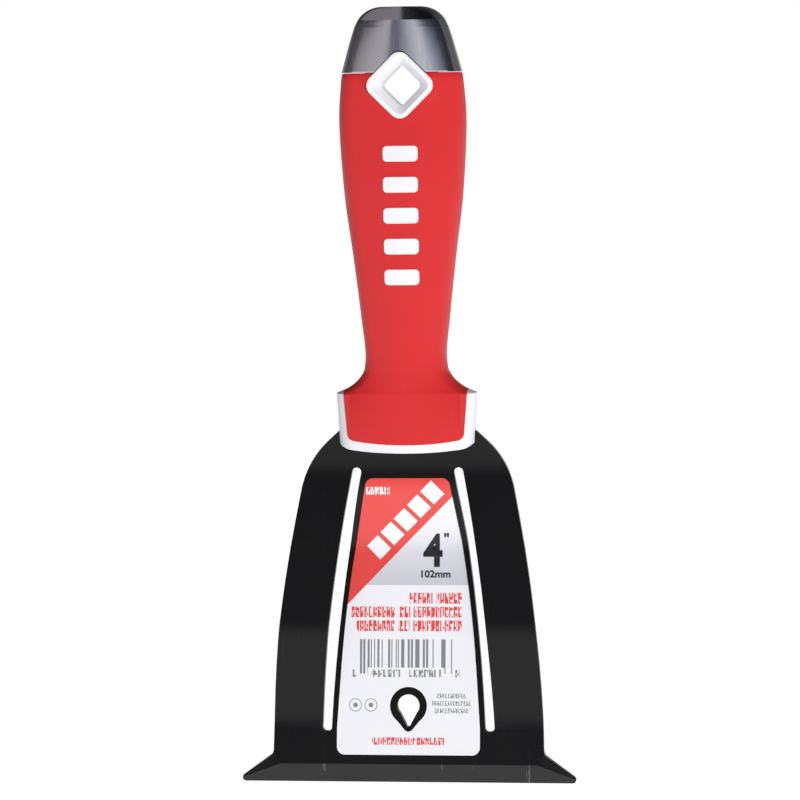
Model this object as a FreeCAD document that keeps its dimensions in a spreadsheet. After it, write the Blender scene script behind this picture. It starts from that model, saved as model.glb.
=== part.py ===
import FreeCAD, Part
import math
import os

import Sketcher

# Trim puller, a rigid hand tool: a cranked steel blade whose tang runs the whole length of
# the handle, two nylon core shells riveted to it, a soft red grip moulded over them, a steel
# strike cap on the butt and a hang hole through everything.
#
# Frame: +Z up along the handle, +X to the right, -Y to the front (the side with the ground
# bevel and the label). The origin is the centre of the hang hole, on the tang's mid-plane.
# Lengths are millimetres and angles are degrees.

doc = FreeCAD.newDocument("trim_puller")
sheet = doc.addObject("Spreadsheet::Sheet", "Sizes")

SIZES = [
    # blade: heights are along Z from the hang hole, distances along the blade start at the knee
    ("blade_thickness", 2.5),
    ("knee_height", -115.3),
    ("knee_radius", 25.0),
    ("crank_angle", 11.25),
    ("edge_reach", 94.8),
    ("blade_joggle", 6.6),
    ("strip_bend_radius", 22.0),
    ("wedge_bend_radius", 15.0),
    ("strip_ramp_top", 49.0),
    ("strip_ramp_foot", 76.0),
    ("wedge_ramp_top", 6.0),
    ("wedge_ramp_foot", 22.0),
    ("pry_vertex_half_width", 53.0),
    ("pry_tip_radius", 1.1),
    ("notch_half_width", 41.05),
    ("notch_height", -201.05),
    ("notch_radius", 2.5),
    ("flank_vertex_half_width", 40.3),
    ("flank_vertex_height", -163.5),
    ("flank_radius", 400.0),
    ("shoulder_vertex_half_width", 30.7),
    ("shoulder_vertex_height", -112.9),
    ("shoulder_radius", 27.0),
    ("shoulder_root_half_width", 18.4),
    ("shoulder_root_height", -101.6),
    ("shoulder_root_rise", 4.0),
    ("bevel_length", 5.7),
    ("bevel_half_width", 39.0),
    ("edge_land", 0.5),
    ("wing_tip_land", 1.1),
    ("wing_tip_inset", 3.2),
    ("wing_notch_rise", 2.2),
    ("slot_width", 2.8),
    ("slot_top_half_width", 15.5),
    ("slot_top_height", -116.4),
    ("slot_foot_half_width", 24.7),
    ("slot_foot_height", -193.2),
    ("slot_curve_radius", 530.0),
    ("nail_hole_height", -186.7),
    ("nail_hole_radius", 3.35),
    ("nail_slit_width", 1.3),
    ("nail_slit_reach", 6.4),
    ("nail_slit_point", 0.8),
    # tang
    ("tang_butt_half_width", 8.0),
    ("tang_eye_half_width", 11.0),
    ("tang_eye_top", 10.0),
    ("tang_eye_foot", -12.0),
    ("tang_half_width", 7.5),
    ("tang_neck_top", -22.0),
    ("tang_corner_radius", 2.0),
    # handle
    ("grip_wall", 2.0),
    ("inlay_relief", 0.3),
    ("inlay_root_depth", 3.0),
    ("bolster_top", -90.6),
    ("bolster_foot_half_width", 20.3),
    ("bolster_foot_half_thickness", 8.2),
    ("bolster_foot_roundness", 0.85),
    ("bolster_foot_height", -113.0),
    ("bolster_corner_half_width", 20.8),
    ("bolster_corner_height", -109.05),
    ("bolster_corner_radius", 3.2),
    ("bolster_sole_vertex", -110.9),
    ("bolster_sole_radius", 170.0),
    ("panel_floor_half_thickness", 5.0),
    ("panel_top_half_width", 18.9),
    ("panel_corner_half_width", 17.5),
    ("panel_corner_height", -106.0),
    ("panel_corner_radius", 2.0),
    ("panel_sole_vertex", -108.9),
    ("panel_sole_radius", 90.0),
    # raised inlay bars on the front of the grip
    ("inlay_top", -17.9),
    ("inlay_foot", -59.2),
    ("inlay_half_width", 5.2),
    ("inlay_bar_height", 4.6),
    ("inlay_bar_radius", 1.2),
    # strike cap
    ("seam_height", 3.8),
    ("strike_height", 23.3),
    ("strike_half_width", 12.1),
    ("strike_corner_radius", 8.3),
    ("strike_half_thickness", 7.5),
    ("strike_edge_radius", 3.4),
    ("cap_wall", 1.8),
    ("crown_thickness", 4.0),
    ("cap_side_flat", 0.35),
    # hang bush: rotated squares, measured from the centre to the unrounded corner
    ("bush_half_thickness", 8.9),
    ("bush_rim_corner", 11.25),
    ("bush_rim_radius", 3.5),
    ("bush_flange", 3.4),
    ("bush_barrel_corner", 9.0),
    ("bush_barrel_radius", 2.0),
    ("bush_dish_corner", 9.2),
    ("bush_dish_radius", 2.2),
    ("hang_hole_corner", 5.9),
    ("hang_hole_radius", 0.9),
    ("bush_clearance", 0.15),
    # tang rivets
    ("rivet_radius", 2.5),
    ("rivet_head_radius", 4.0),
    ("rivet_head_thickness", 1.2),
    ("rivet_half_length", 6.0),
    ("rivet_upper_height", -30.0),
    ("rivet_middle_height", -52.0),
    ("rivet_lower_height", -74.0),
    # label
    ("label_thickness", 0.15),
    ("label_margin", 1.6),
    ("label_top", -118.2),
    ("label_foot", -201.2),
    ("label_corner_radius", 2.4),
    ("label_heel_radius", 60.0),
    ("label_waist", 0.8),
    ("label_window_height", -186.7),
    ("label_window_radius", 5.6),
    ("label_window_drop", 8.5),
    ("label_window_tip_radius", 1.6),
]

# Handle sections: name, height, half width, half thickness, and the radius of the sides as a
# share of the half thickness. Each section is an oval of four arcs.
GRIP_STATIONS = [
    ("seam", 3.8, 18.2, 8.3, 0.74),
    ("belly", -10.0, 19.15, 8.95, 0.74),
    ("palm", -30.0, 18.1, 10.0, 0.74),
    ("waist", -52.0, 15.4, 9.8, 0.74),
    ("taper", -70.0, 13.35, 9.0, 0.74),
    ("neck", -81.0, 12.3, 8.5, 0.74),
    ("throat", -85.0, 12.7, 8.45, 0.76),
    ("flare", -88.0, 14.4, 8.5, 0.78),
    ("shoulder", -90.6, 17.5, 8.6, 0.82),
    ("collar", -92.3, 21.3, 8.7, 0.85),
]
CAP_STATIONS = [
    ("seam", 3.8, 18.2, 8.3, 0.74),
    ("dome", 14.0, 15.5, 7.9, 0.74),
    ("crest", 24.5, 12.1, 7.5, 0.74),
]

# A sculpted skin: the spacing of its ovals and their smallest number, the points along one
# side arc and along the crown of an oval, and how level a rim edge must be.
ROW_SPACING = 2.4
LEAST_ROWS = 8
SIDE_STEPS = 7
CROWN_STEPS = 14
RIM_TOLERANCE = 0.01

# Cutting bodies reach past what they trim: through everything, to a clear half width, a clear
# half depth, a clear top and a clear foot, or just past an edge.
THROUGH = "200"
CLEAR_WIDTH = "60"
CLEAR_DEPTH = "30"
CLEAR_TOP = "60"
CLEAR_FOOT = "-160"
OVERRUN = "1"
HANDLE_OVERRUN = "2"
CAP_OVERRUN = "0.2"

# the rounding of a bowed edge's middle corner, as a share of the slots' radius
SEAM_BOW = 0.9
LABEL_BOW = 0.7


def fill_sheet():
    rows = list(SIZES)
    known = set()
    for name, height, half_width, half_thickness, roundness in GRIP_STATIONS + CAP_STATIONS:
        if name in known:
            continue
        known.add(name)
        if name != "seam":
            rows.append((name + "_station", height))
        rows.append((name + "_half_width", half_width))
        rows.append((name + "_half_thickness", half_thickness))
        rows.append((name + "_roundness", roundness))
    for row, (name, value) in enumerate(rows, start=1):
        sheet.set("A%d" % row, name)
        sheet.set("B%d" % row, str(value))
        sheet.setAlias("B%d" % row, name)
    doc.recompute()


fill_sheet()


def size(name):
    return float(sheet.get(name))


def value_of(expression):
    return float(sheet.evalExpression(expression))


def cell(name):
    return "Sizes." + name


def origin_plane(body, role):
    return next(f for f in body.Origin.OriginFeatures if f.Role == role)


def new_sketch(body, name, role, offset=None):
    sketch = body.newObject("Sketcher::SketchObject", name)
    sketch.AttachmentSupport = (origin_plane(body, role), [""])
    sketch.MapMode = "FlatFace"
    if offset is not None:
        sketch.setExpression("AttachmentOffset.Base.z", offset)
    return sketch


def bind(sketch, constraint, expression):
    index = sketch.addConstraint(constraint)
    sketch.setExpression("Constraints[%d]" % index, expression)


def place_point(sketch, geometry, position, x, y):
    """Hold one point of the sketch at two expressions."""
    x_now = value_of(x)
    y_now = value_of(y)
    bind(sketch, Sketcher.Constraint("DistanceX", -1, 1, geometry, position, x_now), x)
    bind(sketch, Sketcher.Constraint("DistanceY", -1, 1, geometry, position, y_now), y)


def rounded_outline(sketch, corners, closed=True):
    """Draw straight runs through the corners (x, y, radius or None), rounded where asked."""
    points = [FreeCAD.Vector(value_of(x), value_of(y), 0) for x, y, _ in corners]
    count = len(corners)
    arrive = list(points)
    leave = list(points)
    centres = [None] * count
    for i, (_, _, radius) in enumerate(corners):
        if radius is None:
            continue
        back = (points[i - 1] - points[i]).normalize()
        ahead = (points[(i + 1) % count] - points[i]).normalize()
        half_angle = back.getAngle(ahead) / 2
        reach = value_of(radius) / math.tan(half_angle)
        arrive[i] = points[i] + back * reach
        leave[i] = points[i] + ahead * reach
        middle = (back + ahead).normalize()
        centres[i] = points[i] + middle * (value_of(radius) / math.sin(half_angle))
    runs = count if closed else count - 1
    lines = []
    for i in range(runs):
        lines.append(sketch.addGeometry(Part.LineSegment(leave[i], arrive[(i + 1) % count])))
    for i, (x, y, radius) in enumerate(corners):
        before = lines[i - 1] if closed or i > 0 else None
        after = lines[i] if i < runs else None
        if radius is None:
            if before is not None and after is not None:
                sketch.addConstraint(Sketcher.Constraint("Coincident", before, 2, after, 1))
            if after is not None:
                place_point(sketch, after, 1, x, y)
            else:
                place_point(sketch, before, 2, x, y)
            continue
        centre = centres[i]
        arm_in = arrive[i] - centre
        arm_out = leave[i] - centre
        turns_left = arm_in.cross(arm_out).z > 0
        first, last = (arm_in, arm_out) if turns_left else (arm_out, arm_in)
        start = math.atan2(first.y, first.x)
        end = math.atan2(last.y, last.x)
        if end < start:
            end += 2 * math.pi
        circle = Part.Circle(centre, FreeCAD.Vector(0, 0, 1), value_of(radius))
        arc = sketch.addGeometry(Part.ArcOfCircle(circle, start, end))
        entry, exit_ = (1, 2) if turns_left else (2, 1)
        corner = sketch.addGeometry(Part.Point(points[i]), True)
        place_point(sketch, corner, 1, x, y)
        sketch.addConstraint(Sketcher.Constraint("PointOnObject", corner, 1, before))
        sketch.addConstraint(Sketcher.Constraint("PointOnObject", corner, 1, after))
        sketch.addConstraint(Sketcher.Constraint("Tangent", before, 2, arc, entry))
        sketch.addConstraint(Sketcher.Constraint("Tangent", after, 1, arc, exit_))
        bind(sketch, Sketcher.Constraint("Radius", arc, value_of(radius)), radius)


def add_pad(body, sketch, length, both_ways=True):
    pad = body.newObject("PartDesign::Pad", body.Name + "_pad")
    pad.Profile = sketch
    pad.setExpression("Length", length)
    pad.SideType = "Symmetric" if both_ways else "One side"
    return pad


def prism(name, role, corners, length, offset=None):
    """A body padded evenly to both sides of an origin plane."""
    body = doc.addObject("PartDesign::Body", name)
    sketch = new_sketch(body, name + "_outline", role, offset)
    rounded_outline(sketch, corners)
    add_pad(body, sketch, length)
    return body


def mirrored(right_side):
    """Close an outline given by its right-hand corners, from top to bottom."""
    left_side = [("-(%s)" % x, y, radius) for x, y, radius in reversed(right_side)
                 if value_of(x) != 0]
    return right_side + left_side


def combine(kind, name, first, others):
    """A boolean of the document: Part::Cut, Part::MultiFuse or Part::MultiCommon."""
    feature = doc.addObject(kind, name)
    if kind == "Part::Cut":
        feature.Base = first
        feature.Tool = others
    else:
        feature.Shapes = [first] + others
    return feature


def cut(name, base, tools):
    """Take several tools away from a base."""
    tool = tools[0] if len(tools) == 1 else fuse(name + "_tools", *tools)
    return combine("Part::Cut", name, base, tool)


def fuse(name, *pieces):
    return combine("Part::MultiFuse", name, pieces[0], list(pieces[1:]))


def common(name, *pieces):
    return combine("Part::MultiCommon", name, pieces[0], list(pieces[1:]))


def box(name, x_low, x_high, y_low, y_high, z_low, z_high):
    block = doc.addObject("Part::Box", name)
    block.setExpression("Length", "(%s) - (%s)" % (x_high, x_low))
    block.setExpression("Width", "(%s) - (%s)" % (y_high, y_low))
    block.setExpression("Height", "(%s) - (%s)" % (z_high, z_low))
    block.setExpression("Placement.Base.x", x_low)
    block.setExpression("Placement.Base.y", y_low)
    block.setExpression("Placement.Base.z", z_low)
    return block


def half_oval(height, half_width, half_thickness, side_radius):
    """Points along the rear half of a level oval of four tangent arcs, from right to left."""
    reach = half_width - side_radius
    crown_radius = (reach ** 2 + half_thickness ** 2 - side_radius ** 2) / (
        2 * (half_thickness - side_radius))
    drop = crown_radius - half_thickness
    lean = math.atan2(drop, reach)
    arcs = [
        (reach, 0, side_radius, 0, lean, SIDE_STEPS),
        (0, -drop, crown_radius, lean, math.pi - lean, CROWN_STEPS),
        (-reach, 0, side_radius, math.pi - lean, math.pi, SIDE_STEPS),
    ]
    points = []
    for x, y, radius, start, end, steps in arcs:
        for step in range(steps):
            turn = start + (end - start) * step / steps
            points.append(FreeCAD.Vector(x + radius * math.cos(turn), y + radius * math.sin(turn), height))
    points.append(FreeCAD.Vector(-half_width, 0, height))
    return points


def eased(heights, values, height):
    """A smooth curve through the stations that never overshoots between two of them."""
    spans = [b - a for a, b in zip(heights, heights[1:])]
    slopes = [(b - a) / span for a, b, span in zip(values, values[1:], spans)]
    tangents = [slopes[0]]
    for low, high, span_low, span_high in zip(slopes, slopes[1:], spans, spans[1:]):
        if low * high <= 0:
            tangents.append(0.0)
            continue
        weight_low = 2 * span_high + span_low
        weight_high = span_high + 2 * span_low
        tangents.append((weight_low + weight_high) / (weight_low / low + weight_high / high))
    tangents.append(slopes[-1])
    index = max(i for i in range(len(spans)) if i == 0 or height >= heights[i])
    span = spans[index]
    u = (height - heights[index]) / span
    return (values[index] * (1 + 2 * u) * (1 - u) ** 2 + values[index + 1] * u ** 2 * (3 - 2 * u)
            + span * (tangents[index] * u * (1 - u) ** 2 + tangents[index + 1] * u ** 2 * (u - 1)))


def level_edges(faces, height):
    """The rim edges of the faces that lie at one height."""
    return [edge for face in faces for edge in face.Edges
            if abs(edge.BoundBox.ZMin - height) < RIM_TOLERANCE
            and abs(edge.BoundBox.ZMax - height) < RIM_TOLERANCE]


def oval_loft(name, stations, inset=0.0, side_flat=0.0, foot=None):
    """A sculpted solid lofted through level ovals, its skin moved in by the inset. The side
    flat widens it by that much more at its end than at its start. A straight skirt runs from
    its lowest oval to the foot, if there is one."""
    rising = sorted(stations)
    heights, half_widths, half_thicknesses, roundnesses = zip(*rising)
    levels = max(LEAST_ROWS, round((heights[-1] - heights[0]) / ROW_SPACING))
    rows = []
    for index in range(levels + 1):
        share = index / levels
        height = heights[0] + share * (heights[-1] - heights[0])
        half_width = eased(heights, half_widths, height) + share * side_flat
        half_thickness = eased(heights, half_thicknesses, height)
        side_radius = eased(heights, roundnesses, height) * half_thickness
        rows.append(half_oval(height, half_width - inset, half_thickness - inset, side_radius - inset))
    surface = Part.BSplineSurface()
    surface.interpolate(rows)
    rear = [surface.toShape()]
    lowest = heights[0]
    if foot:
        lowest = foot[0]
        foot_curve = Part.BSplineCurve()
        foot_curve.interpolate(half_oval(lowest, foot[1], foot[2], foot[2] * foot[3]))
        rear.append(Part.makeRuledSurface(level_edges(rear, heights[0])[0], foot_curve.toShape()))
    skins = rear + [face.mirror(FreeCAD.Vector(0, 0, 0), FreeCAD.Vector(0, 1, 0)) for face in rear]
    ends = [Part.Face(Part.Wire(Part.sortEdges(level_edges(skins, height))[0]))
            for height in (lowest, heights[-1])]
    shell = Part.makeShell(skins + ends)
    shell.sewShape()
    solid = Part.Solid(shell)
    if solid.Volume < 0:
        solid.reverse()
    feature = doc.addObject("Part::Feature", name)
    feature.Shape = solid
    return feature


def stations_of(table):
    rows = []
    for name, *_ in table:
        height = size("seam_height") if name == "seam" else size(name + "_station")
        rows.append((height, size(name + "_half_width"), size(name + "_half_thickness"),
                     size(name + "_roundness")))
    return rows


def diamond(corner, radius):
    """A rotated square with rounded corners."""
    return [("0", corner, radius), (corner, "0", radius),
            ("0", "-(%s)" % corner, radius), ("-(%s)" % corner, "0", radius)]


# ---- blade ---------------------------------------------------------------------------------

FRONT_OF_TANG = "-%s / 2" % cell("blade_thickness")
TANG_TOP = "%s - %s" % (cell("strike_height"), cell("crown_thickness"))
PLATE_WIDTH = "2.2 * %s" % cell("pry_vertex_half_width")


def blade_point(distance, setback, depth):
    """Y and Z of a point on the cranked blade: how far below the knee it is, how far the
    joggle has set it back, and how deep it lies under the front face."""
    back = "(%s + %s)" % (setback, depth)
    y = "%s - %s * sin(%s) + %s * cos(%s)" % (
        FRONT_OF_TANG, distance, cell("crank_angle"), back, cell("crank_angle"))
    z = "%s - %s * cos(%s) - %s * sin(%s)" % (
        cell("knee_height"), distance, cell("crank_angle"), back, cell("crank_angle"))
    return y, z


def plate_profile(strip, depth):
    """Corners of one face of the plate, seen from the side, from the butt to the edge.
    The face that lies deeper follows the bends at a larger or smaller radius."""
    angle = cell("crank_angle")
    ramp_top = cell(strip + "_ramp_top")
    ramp_foot = cell(strip + "_ramp_foot")
    bend = cell(strip + "_bend_radius")
    ramp = "atan(%s / (%s - %s))" % (cell("blade_joggle"), ramp_foot, ramp_top)
    knee_shift = "%s * tan(%s / 2)" % (depth, angle)
    ramp_shift = "%s * tan(%s / 2)" % (depth, ramp)
    knee_y, knee_z = blade_point("(-%s)" % knee_shift, "0", depth)
    start_y, start_z = blade_point("(%s - %s)" % (ramp_top, ramp_shift), "0", depth)
    finish_y, finish_z = blade_point("(%s - %s)" % (ramp_foot, ramp_shift), cell("blade_joggle"), depth)
    edge_y, edge_z = blade_point(cell("edge_reach"), cell("blade_joggle"), depth)
    return [
        ("%s + %s" % (FRONT_OF_TANG, depth), TANG_TOP, None),
        (knee_y, knee_z, "%s + %s" % (cell("knee_radius"), depth)),
        (start_y, start_z, "%s - %s" % (bend, depth)),
        (finish_y, finish_z, "%s + %s" % (bend, depth)),
        (edge_y, edge_z, None),
    ]


def plate(name, strip, near_depth, far_depth):
    """A bent strip of even thickness, wide enough to be cut to any outline."""
    near = plate_profile(strip, near_depth)
    far = plate_profile(strip, far_depth)
    return prism(name, "YZ_Plane", near + far[::-1], PLATE_WIDTH)


EDGE_HEIGHT = blade_point(cell("edge_reach"), cell("blade_joggle"), "0")[1]


def curved_slot(name, side):
    """A slot of even width between two end centres, bowed outwards; side is 1 or -1."""
    body = doc.addObject("PartDesign::Body", name)
    sketch = new_sketch(body, name + "_outline", "XZ_Plane")
    top_x = "%d * %s" % (side, cell("slot_top_half_width"))
    foot_x = "%d * %s" % (side, cell("slot_foot_half_width"))
    top = FreeCAD.Vector(value_of(top_x), size("slot_top_height"), 0)
    foot = FreeCAD.Vector(value_of(foot_x), size("slot_foot_height"), 0)
    bow = size("slot_curve_radius")
    half = size("slot_width") / 2
    chord = foot - top
    inward = FreeCAD.Vector(chord.y, -chord.x, 0).normalize() * side
    centre = (top + foot) / 2 + inward * math.sqrt(bow ** 2 - (chord.Length / 2) ** 2)
    up = FreeCAD.Vector(0, 0, 1)

    def angle(vector):
        return math.atan2(vector.y, vector.x)

    def arc(middle, radius, start, end):
        if end < start:
            end += 2 * math.pi
        return sketch.addGeometry(Part.ArcOfCircle(Part.Circle(middle, up, radius), start, end))

    top_arm = angle(top - centre)
    foot_arm = angle(foot - centre)
    low, high = (foot_arm, top_arm) if side > 0 else (top_arm, foot_arm)
    outer = arc(centre, bow + half, low, high)
    inner = arc(centre, bow - half, low, high)
    low_centre, high_centre = (foot, top) if side > 0 else (top, foot)
    low_end = arc(low_centre, half, low + math.pi, low)
    high_end = arc(high_centre, half, high, high + math.pi)
    sketch.addConstraint(Sketcher.Constraint("Tangent", low_end, 2, outer, 1))
    sketch.addConstraint(Sketcher.Constraint("Tangent", outer, 2, high_end, 1))
    sketch.addConstraint(Sketcher.Constraint("Tangent", high_end, 2, inner, 2))
    sketch.addConstraint(Sketcher.Constraint("Tangent", inner, 1, low_end, 1))
    bind(sketch, Sketcher.Constraint("Radius", high_end, half), "%s / 2" % cell("slot_width"))
    sketch.addConstraint(Sketcher.Constraint("Equal", high_end, low_end))
    bind(sketch, Sketcher.Constraint("Radius", outer, bow + half),
         "%s + %s / 2" % (cell("slot_curve_radius"), cell("slot_width")))
    top_end, foot_end = (high_end, low_end) if side > 0 else (low_end, high_end)
    place_point(sketch, top_end, 3, top_x, cell("slot_top_height"))
    place_point(sketch, foot_end, 3, foot_x, cell("slot_foot_height"))
    add_pad(body, sketch, THROUGH)
    return body


def slot_line(inwards="0"):
    """Corners of a line that runs beside the right slot, moved towards the centre."""
    top_x = "(%s - %s)" % (cell("slot_top_half_width"), inwards)
    foot_x = "(%s - %s)" % (cell("slot_foot_half_width"), inwards)
    run = "(%s - %s)" % (cell("slot_top_height"), cell("slot_foot_height"))
    bow = "(%s ^ 2 / (4 * %s))" % (run, cell("slot_curve_radius"))
    middle_x = "((%s + %s) / 2 + %s)" % (top_x, foot_x, bow)
    middle_z = "((%s + %s) / 2)" % (cell("slot_top_height"), cell("slot_foot_height"))
    return (top_x, cell("slot_top_height")), (middle_x, middle_z), (foot_x, cell("slot_foot_height"))


def build_blade():
    """The plate is blanked, slotted, bent and joggled, and its pry edge is ground."""
    thickness = cell("blade_thickness")
    side_strips = plate("side_strips", "strip", "0", thickness)
    wedge_strip = plate("wedge_strip", "wedge", "0", thickness)
    (top_x, top_z), (middle_x, middle_z), (foot_x, foot_z) = slot_line()
    wedge_zone = prism("wedge_zone", "XZ_Plane", mirrored([
        (top_x, top_z, None),
        (middle_x, middle_z, "%g * %s" % (SEAM_BOW, cell("slot_curve_radius"))),
        (foot_x, foot_z, None)]), THROUGH)
    sides = cut("blade_sides", side_strips, [wedge_zone])
    wedge = common("blade_wedge", wedge_strip, wedge_zone)
    bent_plate = fuse("bent_plate", sides, wedge)
    tang_corner = cell("tang_corner_radius")
    tang_root = "%s + %s" % (cell("shoulder_root_height"), cell("shoulder_root_rise"))
    outline = prism("blade_outline", "XZ_Plane", mirrored([
        (cell("tang_butt_half_width"), "%s + %s" % (TANG_TOP, OVERRUN), None),
        (cell("tang_eye_half_width"), cell("tang_eye_top"), tang_corner),
        (cell("tang_eye_half_width"), cell("tang_eye_foot"), tang_corner),
        (cell("tang_half_width"), cell("tang_neck_top"), tang_corner),
        (cell("tang_half_width"), tang_root, tang_corner),
        (cell("shoulder_root_half_width"), cell("shoulder_root_height"), None),
        (cell("shoulder_vertex_half_width"), cell("shoulder_vertex_height"), cell("shoulder_radius")),
        (cell("flank_vertex_half_width"), cell("flank_vertex_height"), cell("flank_radius")),
        (cell("notch_half_width"), cell("notch_height"), cell("notch_radius")),
        (cell("pry_vertex_half_width"), EDGE_HEIGHT, cell("pry_tip_radius")),
    ]), THROUGH)
    blank = common("blade_blank", bent_plate, outline)
    slots = [curved_slot("slot_right", 1), curved_slot("slot_left", -1)]
    return cut("blade", blank, slots + [nail_hole(), tang_eye(), bevel_cutter()]
               + wing_cutters() + rivet_shanks("tang_hole"))


def nail_hole():
    """A round hole with a slit below it, where a nail's shank is caught."""
    round_part = doc.addObject("Part::Cylinder", "nail_round")
    round_part.setExpression("Radius", cell("nail_hole_radius"))
    round_part.setExpression("Height", THROUGH)
    round_part.Placement.Rotation = FreeCAD.Rotation(FreeCAD.Vector(1, 0, 0), 90)
    round_part.setExpression("Placement.Base.y", "%s / 2" % THROUGH)
    round_part.setExpression("Placement.Base.z", cell("nail_hole_height"))
    half_slit = "%s / 2" % cell("nail_slit_width")
    tip_z = "%s - %s" % (cell("nail_hole_height"), cell("nail_slit_reach"))
    # the slit grows out of the round hole, from just inside its rim
    shoulder_width, shoulder_drop, tip_share = 0.78, 0.6, 0.6
    shoulder_x = "%g * %s" % (shoulder_width, cell("nail_hole_radius"))
    shoulder_z = "%s - %g * %s" % (cell("nail_hole_height"), shoulder_drop, cell("nail_hole_radius"))
    slit = prism("nail_slit", "XZ_Plane", mirrored([
        (shoulder_x, shoulder_z, None),
        (half_slit, "(%s) + %s" % (tip_z, cell("nail_slit_point")), None),
        ("%g * %s" % (tip_share, half_slit), tip_z, None)]), THROUGH)
    return fuse("nail_keyhole", round_part, slit)


def tang_eye():
    """The eye of the tang, which clears the barrel of the hang bush."""
    corner = "%s + 2 * %s" % (cell("bush_barrel_corner"), cell("bush_clearance"))
    return prism("tang_eye", "XZ_Plane", diamond(corner, cell("bush_barrel_radius")), THROUGH)


def bevel_cutter():
    """The wedge of steel that is ground off the front along the pry edge."""
    joggle = cell("blade_joggle")
    start = "(%s - %s)" % (cell("edge_reach"), cell("bevel_length"))
    land = "(%s - %s)" % (cell("blade_thickness"), cell("edge_land"))
    over_y, over_z = blade_point(start, joggle, "0")
    land_y, land_z = blade_point(cell("edge_reach"), joggle, land)
    beyond = 1.5
    outwards = "(-8)"
    far_y, far_z = blade_point(
        "(%s + %g * %s)" % (cell("edge_reach"), beyond - 1, cell("bevel_length")), joggle,
        "(%g * %s)" % (beyond, land))
    out_y, out_z = blade_point("(%s + %s)" % (cell("edge_reach"), cell("bevel_length")), joggle, outwards)
    top_y, top_z = blade_point(start, joggle, outwards)
    return prism("bevel_cutter", "YZ_Plane", [
        (over_y, over_z, None), (far_y, far_z, None), (out_y, out_z, None), (top_y, top_z, None)],
        PLATE_WIDTH)


def wing_cutters():
    """The flared wings are thinned from the notch to the tip, which gives the bevel its hips."""
    joggle = cell("blade_joggle")
    reach = cell("edge_reach")

    def point(x, distance, depth):
        y, z = blade_point(distance, joggle, depth)
        return FreeCAD.Vector(x, value_of(y), value_of(z))

    bevel_start = "(%s - %s)" % (reach, cell("bevel_length"))
    thin = "(%s - %s)" % (cell("blade_thickness"), cell("wing_tip_land"))
    tip_distance = "(%s + %s / (%s - %s) * %s)" % (
        bevel_start, thin, cell("blade_thickness"), cell("edge_land"), cell("bevel_length"))
    notch_distance = "((%s - %s) / cos(%s) - %s)" % (
        cell("knee_height"), cell("notch_height"), cell("crank_angle"), cell("wing_notch_rise"))
    # the cutting block, how far it starts before the hip, and how far it runs past it sideways
    block_width, block_height, lead, past = 16, 6, 10, 4
    cutters = []
    for name, side in (("wing_cutter_right", 1), ("wing_cutter_left", -1)):
        notch = point(side * size("notch_half_width"), notch_distance, "0")
        hip = point(side * size("bevel_half_width"), bevel_start, "0")
        tip = point(side * (size("pry_vertex_half_width") - size("wing_tip_inset")), tip_distance, thin)
        along = (tip - hip).normalize()
        normal = along.cross(notch - hip).normalize() * side
        if normal.y > 0:
            normal = normal * -1
        across = normal.cross(along)
        block = doc.addObject("Part::Box", name)
        block.setExpression("Length", "0.6 * %s" % cell("pry_vertex_half_width"))
        block.setExpression("Width", str(block_width))
        block.setExpression("Height", str(block_height))
        turn = FreeCAD.Rotation(along, across, normal, "ZXY")
        back = block_width - past if (notch - hip).dot(across) < 0 else past
        corner = hip - along * lead - across * back
        block.Placement = FreeCAD.Placement(corner, turn)
        cutters.append(block)
    return cutters


def rivet_positions():
    return ("upper", "middle", "lower")


def rod(name, radius, half_length, height, start=None):
    """A cylinder along Y at one height of the handle."""
    bar = doc.addObject("Part::Cylinder", name)
    bar.setExpression("Radius", radius)
    low = start or "-(%s)" % half_length
    bar.setExpression("Height", "(%s) - (%s)" % (half_length, low))
    bar.Placement.Rotation = FreeCAD.Rotation(FreeCAD.Vector(1, 0, 0), -90)
    bar.setExpression("Placement.Base.y", low)
    bar.setExpression("Placement.Base.z", height)
    return bar


def rivet_shanks(name):
    return [rod("%s_%s" % (name, which), cell("rivet_radius"), cell("rivet_half_length"),
                cell("rivet_%s_height" % which)) for which in rivet_positions()]


def build_rivets():
    """Solid steel rivets with flat heads, set before the grip is moulded over them."""
    rivets = []
    for which, shank in zip(rivet_positions(), rivet_shanks("shank")):
        height = cell("rivet_%s_height" % which)
        seat = "%s - %s" % (cell("rivet_half_length"), cell("rivet_head_thickness"))
        front_head = rod("front_head_" + which, cell("rivet_head_radius"), "-(%s)" % seat, height,
                         "-%s" % cell("rivet_half_length"))
        rear_head = rod("rear_head_" + which, cell("rivet_head_radius"), cell("rivet_half_length"),
                        height, seat)
        rivets.append(fuse("tang_rivet_" + which, shank, front_head, rear_head))
    return rivets


# ---- hang bush -----------------------------------------------------------------------------

def dish(name, side):
    """One funnel of the hang hole, from the rim to the throat in the middle plane."""
    body = doc.addObject("PartDesign::Body", name)
    # the XZ plane faces the front, so the front rim lies at a positive offset
    rim_offset = "%d * (%s + %g)" % (side, cell("bush_half_thickness"), RIM_TOLERANCE)
    rim = new_sketch(body, name + "_rim", "XZ_Plane", rim_offset)
    rounded_outline(rim, diamond(cell("bush_dish_corner"), cell("bush_dish_radius")))
    throat = new_sketch(body, name + "_throat", "XZ_Plane")
    rounded_outline(throat, diamond(cell("hang_hole_corner"), cell("hang_hole_radius")))
    loft = body.newObject("PartDesign::AdditiveLoft", name + "_loft")
    loft.Profile = rim
    loft.Sections = [(throat, [""])]
    return body


def slab(name, y_low, y_high):
    """A wide, tall slab between two depths, for trimming."""
    return box(name, "-" + CLEAR_WIDTH, CLEAR_WIDTH, y_low, y_high, CLEAR_FOOT, CLEAR_TOP)


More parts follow.
